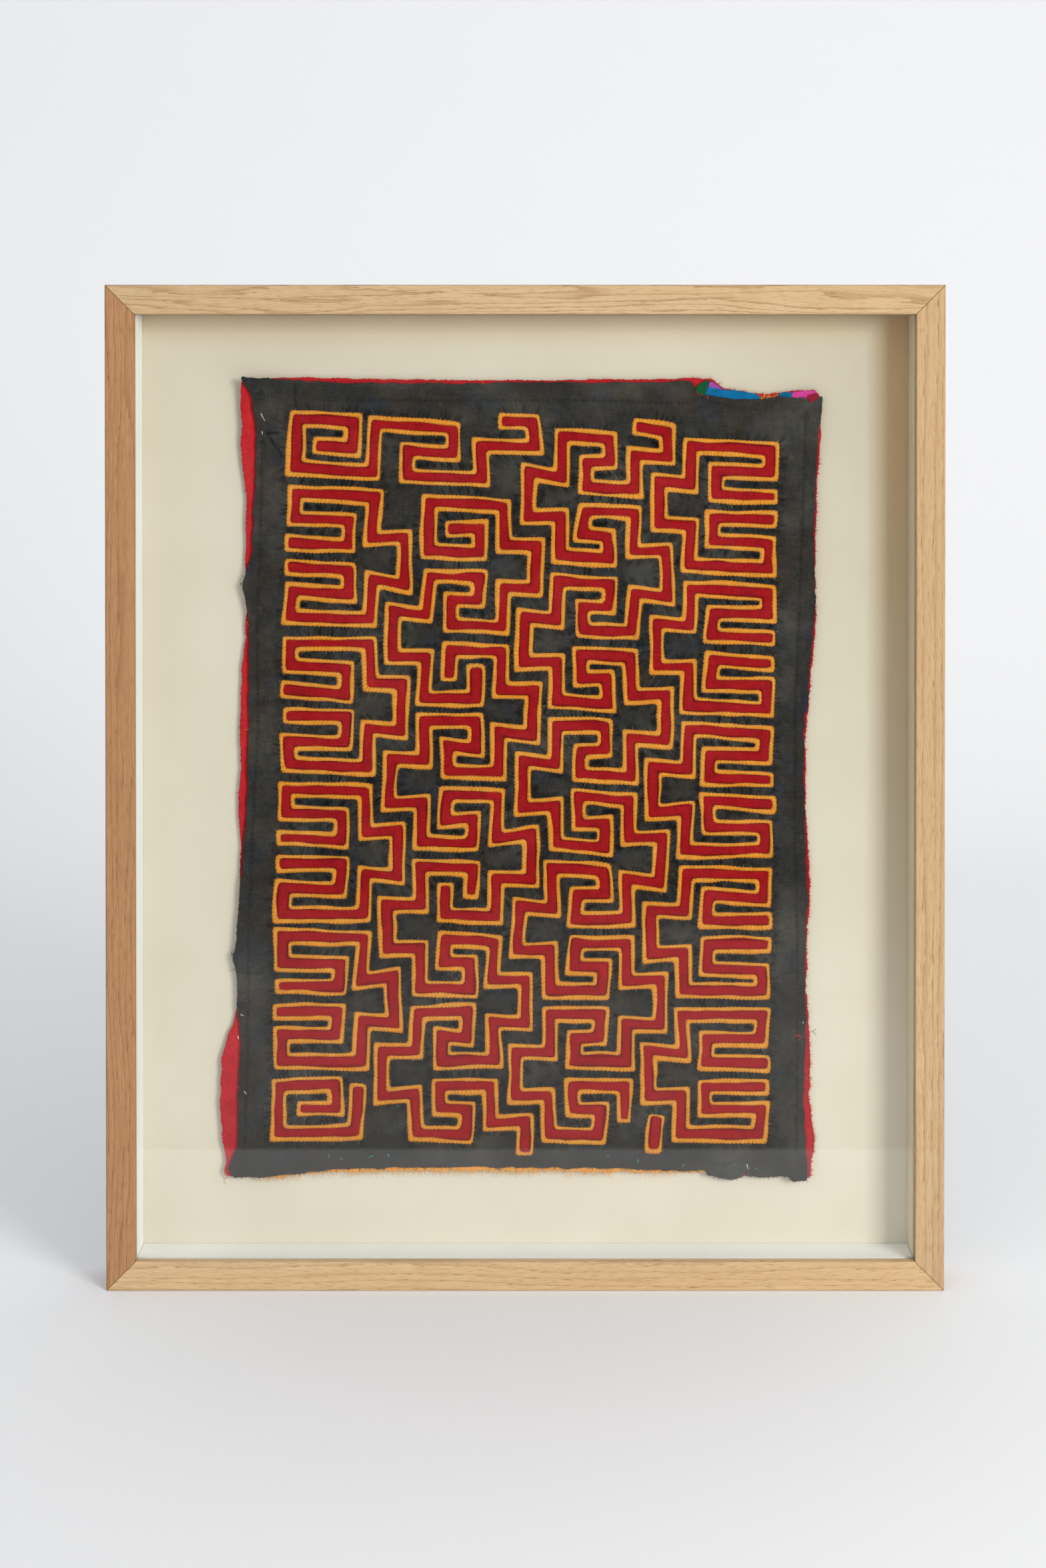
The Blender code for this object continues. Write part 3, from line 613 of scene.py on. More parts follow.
def hand_cut(lanes):
    """Carry the chart onto the cloth, between its four corners, with small seeded slips."""
    chance = np.random.default_rng(HAND_CUT_SEED)
    placed = []
    for lane in lanes:
        lane = np.array(lane)
        across = ((lane[:, 0] / CHART_EDGE_X + 1) / 2)[:, None]
        up = ((lane[:, 1] / CHART_EDGE_Z + 1) / 2)[:, None]
        top = (1 - across) * np.array(CHART_TOP_LEFT) + across * np.array(CHART_TOP_RIGHT)
        bottom = (1 - across) * np.array(CHART_BOTTOM_LEFT) + across * np.array(CHART_BOTTOM_RIGHT)
        slip = chance.normal(0.0, HAND_CUT_SPREAD, lane.shape)
        placed.append((1 - up) * bottom + up * top + np.clip(slip, -HAND_CUT_MOST, HAND_CUT_MOST))
    return placed


def lane_outline(lane, half_width):
    """The closed outline at a distance from a lane: mitred at its corners, square at its ends."""
    steps = np.diff(lane, axis=0)
    steps /= np.linalg.norm(steps, axis=1)[:, None]
    before = np.vstack((steps[:1], steps))
    after = np.vstack((steps, steps[-1:]))
    normal = np.stack((-before[:, 1], before[:, 0]), axis=1)
    normal_after = np.stack((-after[:, 1], after[:, 0]), axis=1)
    both = normal + normal_after
    mitre = both / (1 + np.sum(normal * normal_after, axis=1))[:, None]
    centre = lane.copy()
    centre[0] -= half_width * steps[0]
    centre[-1] += half_width * steps[-1]
    left = centre + half_width * mitre
    right = centre - half_width * mitre
    return np.vstack((left, right[::-1]))


def softened(values, stations):
    """Values round a ring, each averaged with its neighbours by a bell curve of that width."""
    turns = np.fft.fftfreq(len(values))
    bell = np.exp(-2 * (math.pi * stations * turns) ** 2)
    bell = bell.reshape(-1, *([1] * (values.ndim - 1)))
    return np.fft.ifft(np.fft.fft(values, axis=0) * bell, axis=0).real


def wander(chance, count, stations, size):
    """Random slips round a ring that change over about that many stations; size is their spread."""
    slips = softened(chance.normal(size=count), stations)
    return slips * size / max(float(slips.std()), 1e-9)


def unit(vectors):
    return vectors / np.maximum(np.linalg.norm(vectors, axis=-1, keepdims=True), 1e-12)


def drop_on(field, places, weights):
    """Add weights to the grid's cells that hold the places."""
    cell = np.round((places - FIELD_CORNER) / FIELD_STEP).astype(int)
    cell = np.clip(cell, 0, np.array(FIELD_SHAPE) - 1)
    np.add.at(field, (cell[..., 0], cell[..., 1]), np.broadcast_to(weights, cell.shape[:-1]))


def reach_along(line):
    """How far along a line each of its corners lies."""
    return np.concatenate(([0.0], np.cumsum(np.linalg.norm(np.diff(line, axis=0), axis=1))))


def read_line(at, known, line):
    """Places on a line at the values at, where known holds the same measure for its corners."""
    return np.stack([np.interp(at, known, line[:, axis]) for axis in (0, 1)], axis=1)


def along_line(corners, step):
    """Places at even steps along a line through corners, in metres from millimetres."""
    corners = np.array(corners) * MM
    reach = reach_along(corners)
    return read_line(np.arange(0, reach[-1], step), reach, corners)


def pucker_field(rings):
    """Where the top layer is pulled down, on a grid: 0 where it lies flat, 1 along a full line.

    Each hem stitch adds a line of dents that fades as it leaves the hem, and the tight stitches,
    about half, pull a pucker right across a strip. Each crease adds a line, each running stitch a
    short line. A bell curve softens them all, and its height over such a line is divided out.
    """
    field = np.zeros(FIELD_SHAPE)
    reach = np.arange(*DENT_REACH, DENT_SPACING)
    fading = np.linspace(*DENT_FADING, len(reach))
    short = np.where(reach < WEAK_REACH, WEAK_STITCH, 0.0)
    for ring in rings:
        at = np.arange(2, len(ring.outer), STATIONS_PER_STITCH)
        places = ring.outer[at][:, None] + ring.across[at][:, None] * reach[:, None]
        tight = np.roll(ring.depth, 2)[at][:, None]
        drop_on(field, places, np.where(tight > STRONG_STITCH, tight * fading, tight * short))
    for x, z, end_x, end_z, strength in CREASES:
        drop_on(field, along_line(((x, z), (end_x, end_z)), DENT_SPACING), strength)
    for line in RUNNING_LINES:
        for slip in RUNNING_SLIPS:
            drop_on(field, along_line(line, RUNNING_PITCH) + (0, slip), RUNNING_STITCH)
        drop_on(field, along_line(line, DENT_SPACING), RUNNING_LINE)
    turns = [np.fft.fftfreq(FIELD_SHAPE[0])[:, None], np.fft.rfftfreq(FIELD_SHAPE[1])[None]]
    bell = np.exp(-2 * (math.pi * DENT_SOFTNESS / FIELD_STEP) ** 2 * (turns[0] ** 2 + turns[1] ** 2))
    field = np.fft.irfft2(np.fft.rfft2(field) * bell, FIELD_SHAPE)
    return field * math.sqrt(2 * math.pi) * DENT_SOFTNESS * DENT_SPACING / FIELD_STEP ** 2


def read_field(field, flat):
    """The grid's values at places on the cloth, each between its four nearest cells."""
    spot = np.clip((flat - FIELD_CORNER) / FIELD_STEP, 0, np.array(FIELD_SHAPE) - 1.001)
    cell = np.floor(spot).astype(int)
    part = spot - cell
    across, up = cell[..., 0], cell[..., 1]
    low = field[across, up] * (1 - part[..., 0]) + field[across + 1, up] * part[..., 0]
    high = field[across, up + 1] * (1 - part[..., 0]) + field[across + 1, up + 1] * part[..., 0]
    return low * (1 - part[..., 1]) + high * part[..., 1]


def lift(x, z):
    """How far the stack stands off the board: the bends' tables, softened, plus long ripples."""
    total = np.zeros_like(x)
    for start_x, start_z, degrees, rows in BENDS:
        turn = math.radians(degrees)
        distance = (x - start_x * MM) * math.cos(turn) + (z - start_z * MM) * math.sin(turn)
        table = np.array(rows) * MM
        for slip in BEND_SOFTNESS:
            total += np.interp(distance + slip, table[:, 0], table[:, 1]) / len(BEND_SOFTNESS)
    for length, degrees, height in RIPPLES:
        turn = math.radians(degrees)
        along = (x * math.cos(turn) + z * math.sin(turn)) / (length * MM)
        bent = along + 0.35 * np.sin(2 * math.pi * (z - x) / (3.1 * length * MM))
        total += height * MM * (0.5 + 0.5 * np.sin(2 * math.pi * bent))
    return total


def on_cloth(flat, height):
    """Points in space for places on the cloth (x, z) at a height above the mount board."""
    x, z = flat[..., 0], flat[..., 1]
    return np.stack((x, BOARD_FRONT - height - lift(x, z), z), axis=-1)


def facing_front(points, faces):
    """The faces, all turned over if together they point to the back."""
    side = points[faces[:, 2]] - points[faces[:, 0]]
    other = points[faces[:, -1]] - points[faces[:, 1]]
    return faces[:, ::-1] if np.cross(side, other)[:, 1].sum() > 0 else faces


def strips(grids, shades, closed=False):
    """Quads over many grids at once: the array is strips, stations, rows, 3."""
    count, stations, rows = grids.shape[:3]
    index = np.arange(stations * rows).reshape(stations, rows)
    ahead = np.roll(index, -1, axis=0)
    if not closed:
        index, ahead = index[:-1], ahead[:-1]
    quads = np.stack((index[:, :-1], ahead[:, :-1], ahead[:, 1:], index[:, 1:]), axis=-1)
    starts = np.arange(count)[:, None, None] * stations * rows
    faces = (quads.reshape(1, -1, 4) + starts).reshape(-1, 4)
    points = grids.reshape(-1, 3)
    return points, facing_front(points, faces), np.broadcast_to(shades, grids.shape[:3]).reshape(-1)


def add_mesh(name, points, faces, look):
    """A mesh object of points and faces, in one material."""
    mesh = bpy.data.meshes.new(name)
    mesh.from_pydata(points.tolist(), [], faces)
    mesh.materials.append(look)
    made = bpy.data.objects.new(name, mesh)
    bpy.context.scene.collection.objects.link(made)
    return made


def make_piece(name, patches, look):
    """Join patches of points, faces and shades into one smooth mesh piece on the root body."""
    starts = np.cumsum([0] + [len(patch[0]) for patch in patches])
    points = np.vstack([patch[0] for patch in patches])
    faces = []
    for start, patch in zip(starts, patches):
        faces += (patch[1] + start).tolist()
    piece = add_mesh(name, points, faces, look)
    piece.data.shade_smooth()
    shade = piece.data.attributes.new("shade", "FLOAT", "POINT")
    shade.data.foreach_set("value", np.concatenate([patch[2] for patch in patches]))
    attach(piece, "root")
    return piece


def sewn_rings(lane, chance):
    """The red edge and the black edge of one lane, as matched rings of stations.

    Both outlines are read at the same share of each of their sides, four stations a stitch, rounded
    at the corners, and let wander across the lane. Returned are the inner ring, the outer ring, the
    unit directions across the ribbon, and how deep each station's stitch pulls, from 0 to 1.
    """
    inner, outer = lane_outline(lane, RED_HALF_WIDTH), lane_outline(lane, CHANNEL_HALF_WIDTH)
    middle = (inner + outer) / 2
    closed = np.vstack((middle, middle[:1]))
    reach = reach_along(closed)
    stitches = round(reach[-1] / STITCH_PITCH)
    slips = np.pad(chance.uniform(-STITCH_SLIP, STITCH_SLIP, stitches - 1), 1)
    borders = np.arange(stitches + 1) + slips
    count = stitches * STATIONS_PER_STITCH
    shares = np.arange(count) / STATIONS_PER_STITCH
    places = np.interp(shares, np.arange(stitches + 1), borders * reach[-1] / stitches)
    side = np.interp(places, reach, np.arange(len(reach)))
    step = reach[-1] / count
    rings = []
    for outline, rounding in ((inner, INNER_ROUNDING), (outer, OUTER_ROUNDING)):
        outline = np.vstack((outline, outline[:1]))
        ring = read_line(side, np.arange(len(outline)), outline)
        rings.append(softened(ring, rounding / step))
    inner, outer = rings
    across = unit(outer - inner)
    together = wander(chance, count, LANE_WANDER_LENGTH / step, LANE_WANDER)
    inner_slip = together + wander(chance, count, EDGE_WANDER_LENGTH / step, EDGE_WANDER)
    outer_slip = together + wander(chance, count, EDGE_WANDER_LENGTH / step, EDGE_WANDER)
    inner = inner + across * inner_slip[:, None]
    outer = outer + across * outer_slip[:, None]
    narrow = np.maximum(LEAST_RIBBON - np.sum((outer - inner) * across, axis=1), 0)
    outer = outer + across * narrow[:, None]
    depth = np.tile(STITCH_FORM, stitches)
    depth *= np.repeat(chance.uniform(*STITCH_PULL, stitches), STATIONS_PER_STITCH)
    return Ring(inner, outer, across, depth)


def ribbon_patch(ring):
    """The orange ribbon: a rolled inner edge, a nearly flat face, and an outer side under the hem.

    Rows go across the ribbon: how far out, how high, and the shade. Each stitch pulls both rolls down
    and back, so that shallow puckers run straight across it.
    """
    inner, outer, across, depth = ring
    width = np.sum((outer - inner) * across, axis=1)
    far = np.roll(depth, 2)
    level = ORANGE_LEVEL + 0 * depth
    rows = (
        (0.45 * MM + 0 * width, level - 0.60 * MM, 0.10 + 0 * depth),
        (0.32 * MM * depth, level - 0.18 * MM - 0.08 * MM * depth, 0.62 - 0.42 * depth),
        (0.20 * MM + 0.24 * MM * depth, level + 0.16 * MM - 0.30 * MM * depth, 1.0 - 0.72 * depth),
        (0.50 * width, level + 0.30 * MM - 0.12 * MM * (depth + far), 1.0 - 0.17 * (depth + far)),
        (0.90 * width, level + 0.16 * MM - 0.30 * MM * far, 0.80 - 0.60 * far),
        (width + RIBBON_TUCK, level + 0.02 * MM, 0.15 + 0 * depth),
    )
    grid = [on_cloth(inner + across * offset[:, None], height) for offset, height, shade in rows]
    shades = np.stack([shade for offset, height, shade in rows], axis=1)
    return strips(np.stack(grid, axis=1)[None], shades[None], closed=True)


def top_layer(field, flat, height, shade, share):
    """Points and shades of the top layer, with its share of the puckers taken off the height."""
    dent = np.minimum(read_field(field, flat), DENT_MOST) * share
    shade = np.clip(shade - PUCKER_SHADE * dent, LEAST_SHADE, 1.0)
    return on_cloth(flat, height - PUCKER_DEPTH * dent), shade


def hem_patch(ring, field):
    """The black hem, turned under along the black edge and pulled down by its stitches.

    Rows go away from the ribbon: how far out, how high, the shade, and the share of the puckers.
    """
    outer, across, depth = ring.outer, ring.across, np.roll(ring.depth, 2)
    level = BLACK_LEVEL + 0 * depth
    rows = (
        (0.30 * MM + 0 * depth, level - 0.95 * MM, 0.10 + 0 * depth, 0.0),
        (-0.40 * MM * depth, level - 0.50 * MM - 0.12 * MM * depth, 0.42 - 0.2 * depth, 0.0),
        (0.14 * MM - 0.34 * MM * depth, level - 0.10 * MM - 0.24 * MM * depth, 0.85 - 0.3 * depth, 0.2),
        (0.50 * MM + 0 * depth, level + 0.10 * MM - 0.08 * MM * depth, 1.0 + 0 * depth, 0.7),
        (HEM_WIDTH + 0 * depth, level, 1.0 + 0 * depth, 1.0),
    )
    grid, shades = zip(*[top_layer(field, outer + across * offset[:, None], height, shade, share)
                         for offset, height, shade, share in rows])
    return strips(np.stack(grid, axis=1)[None], np.stack(shades, axis=1)[None], closed=True)


def red_lane_patch(lane, chance):
    """The red base in one lane: a strip between its two sides, crowned as one minus u squared."""
    outline = lane_outline(lane, RED_UNDER_HALF_WIDTH)
    left, right = outline[:len(lane)], outline[len(lane):][::-1]
    middle = (left + right) / 2
    reach = reach_along(middle)
    count = round(reach[-1] / RED_LANE_STEP) + 1
    side = np.interp(np.linspace(0, reach[-1], count), reach, np.arange(len(lane)))
    left, right = [read_line(side, np.arange(len(lane)), edge) for edge in (left, right)]
    across = np.linspace(-1, 1, RED_LANE_ROWS)[None, :, None]
    flat = left[:, None] * (1 - across) / 2 + right[:, None] * (1 + across) / 2
    puffed = softened(chance.normal(size=(count, RED_LANE_ROWS)), 2.0) * RED_LANE_PUFF
    height = RED_LANE_LEVEL + RED_LANE_CROWN * (1 - across[..., 0] ** 2) + puffed
    # painted shade: the lane darkens towards its sides, where it runs under the ribbons
    shade = np.broadcast_to(1.0 - 0.75 * np.abs(across[..., 0]) ** 5, (1, count, RED_LANE_ROWS))
    return strips(on_cloth(flat, height)[None], shade)


def stitch_patch(ring, across, first, offsets, heights, width):
    """Small stitches over an edge, one at each deepest station: an arch of three stations."""
    at = np.arange(first, len(ring), STATIONS_PER_STITCH)
    root, out = ring[at], across[at]
    along = np.stack((-out[:, 1], out[:, 0]), axis=1)
    slant = STITCH_SLANT * along
    grid = []
    for offset, height in zip(offsets, heights):
        middle = root + (out + slant) * offset
        row = [on_cloth(middle + along * width * share, height + rise)
               for share, rise in ((-0.5, 0.0), (0.0, STITCH_CROWN), (0.5, 0.0))]
        grid.append(np.stack(row, axis=1))
    return strips(np.stack(grid, axis=1), np.ones((1, 1, 1)))


def counterclockwise(ring):
    x, z = ring[:, 0], ring[:, 1]
    area = np.sum(x * np.roll(z, -1) - np.roll(x, -1) * z)
    return ring if area > 0 else ring[::-1]


def cut_patch(outline, holes, spacing, level, field=None):
    """Triangles inside an outline and outside its holes, with a grid of points for the bends.

    Where a field is given, its dents are taken off the level.
    """
    rings = [counterclockwise(ring) for ring in (outline, *holes)]
    low, high = outline.min(axis=0), outline.max(axis=0)
    x, z = np.meshgrid(np.arange(low[0], high[0], spacing), np.arange(low[1], high[1], spacing))
    x = x + spacing / 2 * (np.arange(x.shape[0]) % 2)[:, None]
    coords = np.vstack(rings + [np.stack((x.ravel(), z.ravel()), axis=1)])
    ends = np.cumsum([len(ring) for ring in rings]).tolist()
    loops = [list(range(start, end)) for start, end in zip([0] + ends, ends)]
    found = delaunay_2d_cdt(coords.tolist(), [], loops, 1, 1e-7)
    flat = np.array([tuple(corner) for corner in found[0]])
    inside = np.array([owners == [0] for owners in found[5]])
    faces = np.array(found[2])[inside]
    used, again = np.unique(faces, return_inverse=True)
    faces = again.reshape(faces.shape)
    shade = np.ones(len(used))
    if field is None:
        points = on_cloth(flat[used], level)
    else:
        points, shade = top_layer(field, flat[used], level, shade, 1.0)
    return points, facing_front(points, faces), shade


def ragged(edge_mm, chance, step=EDGE_STEP, roughness=EDGE_ROUGHNESS):
    """A raw edge read at even steps, its corners softened, its threads let stand a little apart."""
    corners = np.array(edge_mm) * MM
    closed = np.vstack((corners, corners[:1]))
    reach = reach_along(closed)
    count = round(reach[-1] / step)
    ring = read_line(np.arange(count) * reach[-1] / count, reach, closed)
    ring = softened(ring, EDGE_ROUNDING / step)
    slip = wander(chance, count, 3.0, 1.6 * roughness) + chance.normal(0, roughness, count)
    return ring + outward(ring) * slip[:, None]


def outward(ring):
    """Unit directions out of a counterclockwise ring."""
    along = unit(np.roll(ring, -1, axis=0) - np.roll(ring, 1, axis=0))
    return np.stack((along[:, 1], -along[:, 0]), axis=1)


def skirt_patch(ring, level, drop):
    """The thickness of a raw edge: rows that turn over and go back by drop.

    A row is how far out, how far back, and the shade.
    """
    out = outward(ring)
    rows = ((0.0, 0.0, 1.0), (0.14 * MM, 0.18 * MM, 0.75), (0.12 * MM, drop, 0.3))
    grid = [on_cloth(ring + out * offset, level - back) for offset, back, shade in rows]
    shades = np.array([shade for offset, back, shade in rows])
    return strips(np.stack(grid, axis=1)[None], shades[None, None], closed=True)


def thread_patch(roots, headings, lengths, width, heights, curls):
    """Loose threads, each a tapered ridge that runs on from its root and turns evenly by its curl."""
    steps = np.linspace(0, 1, THREAD_POINTS)
    turn = headings[:, None] + curls[:, None] * steps
    stretch = lengths[:, None] / (THREAD_POINTS - 1)
    x = roots[:, :1] + np.cumsum(np.cos(turn) * stretch, axis=1) - np.cos(turn[:, :1]) * stretch
    z = roots[:, 1:] + np.cumsum(np.sin(turn) * stretch, axis=1) - np.sin(turn[:, :1]) * stretch
    half = width / 2 * (1 - THREAD_TAPER * steps)
    side = np.stack((-np.sin(turn), np.cos(turn)), axis=-1)
    flat = np.stack((x, z), axis=-1)
    row = [on_cloth(flat + side * (half * share)[None, :, None], heights[:, None] + rise * half)
           for share, rise in ((-1.0, 0.0), (0.0, THREAD_RIDGE), (1.0, 0.0))]
    return strips(np.stack(row, axis=2), np.ones((1, 1, 1)))


def fringe_patch(ring, chance, share, length, level, width, lean):
    """Threads frayed out of a raw edge; share gives how many start at each point of the ring."""
    tries = np.repeat(np.arange(len(ring)), FRAY_TRIES)
    picked = tries[chance.random(len(tries)) < np.repeat(share, FRAY_TRIES)]
    out = outward(ring)[picked]
    headings = np.arctan2(out[:, 1], out[:, 0]) + chance.normal(0, lean, len(picked))
    lengths = length * chance.gamma(2.0, 0.5, len(picked)).clip(*FRAY_LENGTHS)
    roots = ring[picked] - out * FRAY_ROOT + chance.normal(0, FRAY_SCATTER, (len(picked), 2))
    heights = level + chance.uniform(*FRAY_HEIGHTS, len(picked))
    curls = chance.normal(0, FRAY_CURL, len(picked))
    return thread_patch(roots, headings, lengths, width, heights, curls)


def fringe_share(ring, base, places):
    """How many threads leave each point: base, plus more between given ends; rows are in mm."""
    share = np.full(len(ring), base)
    for low_x, low_z, high_x, high_z, more in places:
        inside = (ring[:, 0] > low_x * MM) & (ring[:, 0] < high_x * MM)
        inside &= (ring[:, 1] > low_z * MM) & (ring[:, 1] < high_z * MM)
        share[inside] += more
    return share


def line_patch(rows, height, width):
    """Single threads, given one by one: rows of x_mm, height_mm, degrees, length_mm, curl."""
    table = np.array(rows, float)
    heights = np.full(len(table), height)
    return thread_patch(table[:, :2] * MM, np.radians(table[:, 2]), table[:, 3] * MM, width, heights,
                        table[:, 4])


def build_lanes(chance, looks):
    """Red lanes, orange ribbons, black hems and both rows of stitches, along every lane.

    Returned are the rings, the field of puckers, and the pieces that go with each colour's sheet.
    """
    lanes = hand_cut(chart_lanes())
    rings = [sewn_rings(lane, chance) for lane in lanes]
    field = pucker_field(rings)
    extra = {"red": [make_piece("red_lanes", [red_lane_patch(lane, chance) for lane in lanes],
                                looks["red"])], "orange": [], "black": []}
    combs = len(RIGHT_COMB_HEIGHTS) + len(LEFT_COMB_HEIGHTS)
    for group, members in (("combs", rings[:combs]), ("snakes", rings[combs:])):
        ribbons = [ribbon_patch(ring) for ring in members]
        hems = [hem_patch(ring, field) for ring in members]
        extra["orange"].append(make_piece("orange_ribbons_" + group, ribbons, looks["orange"]))
        extra["black"].append(make_piece("black_hems_" + group, hems, looks["faded black"]))
    over_red = [stitch_patch(ring.inner, ring.across, 0, *OVER_RED) for ring in rings]
    over_orange = [stitch_patch(ring.outer, ring.across, 2, *OVER_ORANGE) for ring in rings]
    extra["orange"].append(make_piece("orange_stitches", over_red, looks["cotton sewing thread, orange"]))
    extra["black"].append(make_piece("black_stitches", over_orange,
                                     looks["cotton sewing thread, grey to black"]))
    return rings, field, extra


def lay_layer(layer, ring, holes, field, chance, looks):
    """One layer of cotton outside the lanes: its sheet, its edge's thickness, and what frays out."""
    colour = layer.name.split("_")[0]
    cloth = cut_patch(ring, holes, layer.grid, layer.level, field)
    edge = skirt_patch(ring, layer.level, layer.drop)
    sheet = make_piece(layer.name + "_sheet", [cloth, edge], looks[layer.look])
    fray = fringe_patch(ring, chance, fringe_share(ring, layer.share, layer.places), layer.length,
                        layer.level + layer.rise, layer.width, layer.lean)
    fringe = make_piece(colour + "_fray", [fray], looks[layer.thread])
    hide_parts(layer.name + "_cloth")


def build_sheets(chance, rings, field, looks):
    """The three layers outside the lanes; only the top one is pulled down by the field's puckers."""
    raw_edges = [ragged(layer.edge, chance) for layer in LAYERS]
    hem_insides = [ring.outer + ring.across * HEM_WIDTH for ring in rings]
    ribbon_outsides = [(ring.outer + ring.across * RIBBON_TUCK)[::2] for ring in rings]
    cuts = ((hem_insides, field), (ribbon_outsides, None), ([], None))
    for layer, raw_edge, (holes, dents) in zip(LAYERS, raw_edges, cuts):
        lay_layer(layer, raw_edge, holes, dents, chance, looks)


def build_scraps(chance):
    """The scraps of other cloth caught in the notch: flat bits with ragged sides and a few threads.

    The wine one lies on the pink one and is smaller than a sheet.
    """
    made = {}
    for name, slot, colour, rise, corners in SCRAPS:
        look = cotton("plain woven cotton, " + slot.split("_")[0], colour, "#101418", colour, colour,
                      colour, 0.15, 0.2)
        ring = ragged(corners, chance, SCRAP_EDGE_STEP, SCRAP_EDGE_ROUGHNESS)
        level = ORANGE_LEVEL + rise * MM
        patches = [cut_patch(ring, [], SCRAP_GRID, level), skirt_patch(ring, level, 0.5 * MM)]
        scrap = make_piece(name + "_piece", patches, look)
        share = np.full(len(ring), SCRAP_FRAY_SHARE)
        length, width, lean = SCRAP_FRAY
        fringe = fringe_patch(ring, chance, share, length, level, width, lean)
        fray = make_piece(name + "_fray", [fringe], look)
        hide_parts(name)
        made[name] = (scrap, ring, fray)
    for name, (scrap, ring, fray) in made.items():
        if name == OVER_THE_PINK:
            continue


def build_loose_threads(chance, rings, looks):
    """White basting ends, green tufts, dark knots, red curls, and pale lint caught along the hems."""
    outer = np.vstack([ring.outer for ring in rings])
    picked = chance.choice(len(outer), LINT_COUNT, replace=False)
    roots = outer[picked] + chance.normal(0, LINT_SCATTER, (LINT_COUNT, 2))
    headings = chance.uniform(0, 2 * math.pi, LINT_COUNT)
    lengths = chance.uniform(*LINT_LENGTHS, LINT_COUNT) * MM
    heights = np.full(LINT_COUNT, BLACK_LEVEL + LINT_RISE)
    curls = chance.normal(0, LINT_CURL, LINT_COUNT)
    lint = thread_patch(roots, headings, lengths, LINT_WIDTH, heights, curls)
    make_piece("pale_lint", [lint], looks["pale cotton lint"])
    for name, look, slot, rise, width, rows in LOOSE_THREADS:
        threads = line_patch(rows, BLACK_LEVEL + rise * MM, width * MM)
        make_piece(name, [threads], looks[look])


def dress_frame():
    """Finish the CAD nodes whose shape stays: rails, pane, spacers and boards."""
    rails = (
        ("rail_left", "Z", "#B0835A", "#966942", "#744A2A", 6.0, 0.50),
        ("rail_right", "Z", "#C1A57F", "#A98457", "#845834", 3.0, 0.50),
        ("rail_top", "X", "#C3A781", "#AE8E62", "#845830", 9.0, 0.70),
        ("rail_bottom", "X", "#D1B48C", "#BC9769", "#876038", 4.0, 0.42),
    )
    for node, along, light, dark, pore, waves, contrast in rails:
        dress(node, oak("waxed oak, " + node.split("_")[1], along, light, dark, pore, waves, contrast))
    dress("glass", float_glass())
    white = board_paper("white spacer board", "#F5F7F6", "#E6E8E5", SPACER_GRAIN)
    for side in ("left", "bottom"):
        dress("spacer_" + side, white)
    # painted shade: the right spacer is darker and warmer, as in the right rail's shadow
    painted_shade_right_spacer = board_paper("white spacer board, toned", "#E2D6BE", "#D3C5A9", SPACER_GRAIN)
    dress("spacer_right", painted_shade_right_spacer)
    # painted shade: the top spacer is brown, as in the shadow under the top rail
    painted_shade_top_spacer = board_paper("white spacer board, browned", "#C4B08E", "#B39C78", SPACER_GRAIN)
    dress("spacer_top", painted_shade_top_spacer)
    # painted shade: the mount board's brown beside the oak and its grey towards the top and right
    board = board_paper("cream rag mount board", "#DED6C6", "#D2C8B4", 0.8 * MM, "#C9A87C")
    dress("mount_board", board)
    dress("back_board", board_paper("brown hardboard", "#8A6B4A", "#6E5338", 1.2 * MM))


def dress(node, look):
    bpy.data.objects[node].material_slots[0].material = look


def build_framers_points():
    """Flat steel points that hold the back board in the rebate, three a side and two top and bottom.

    Each is a plate with one rounded end: a half circle of the plate's half width on a straight shank.
    """
    low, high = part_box("back_board")
    back = high[1] + 0.1 * MM
    half, shank, thick = 4 * MM, 13 * MM, 0.5 * MM
    turn = np.linspace(-math.pi / 2, math.pi / 2, 9)
    outline = np.vstack(([[-half, half], [-half, -half]],
                         np.stack((shank + half * np.cos(turn), half * np.sin(turn)), axis=1)))
    places = [(low[0], share, 0) for share in (0.2, 0.5, 0.8)]
    places += [(high[0], share, 180) for share in (0.2, 0.5, 0.8)]
    places += [(low[2], share, 90) for share in (0.3, 0.7)]
    places += [(high[2], share, 270) for share in (0.3, 0.7)]
    count = len(outline)
    loop = np.arange(count)
    sides = np.stack((loop, np.roll(loop, -1), np.roll(loop, -1) + count, loop + count), axis=1)
    points, faces = [], []
    for edge, share, degrees in places:
        turned = math.radians(degrees)
        x = outline[:, 0] * math.cos(turned) - outline[:, 1] * math.sin(turned)
        z = outline[:, 0] * math.sin(turned) + outline[:, 1] * math.cos(turned)
        upright = degrees in (0, 180)
        x = x + (edge if upright else low[0] + share * (high[0] - low[0]))
        z = z + (low[2] + share * (high[2] - low[2]) if upright else edge)
        start = len(points) * count
        points.append(np.stack((x, np.full(count, back), z), axis=1))
        points.append(np.stack((x, np.full(count, back + thick), z), axis=1))
        faces.append((loop + start).tolist())
        faces.append((loop[::-1] + start + count).tolist())
        faces += (sides[:, ::-1] + start).tolist()
    steel = surfaced(empty_material("galvanised steel")[0], {
        "Base Color": linear("#A9ABAA"), "Metallic": 1.0, "Roughness": 0.38})
    piece = add_mesh("framers_points", np.vstack(points), faces, steel)
    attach(piece, "root")


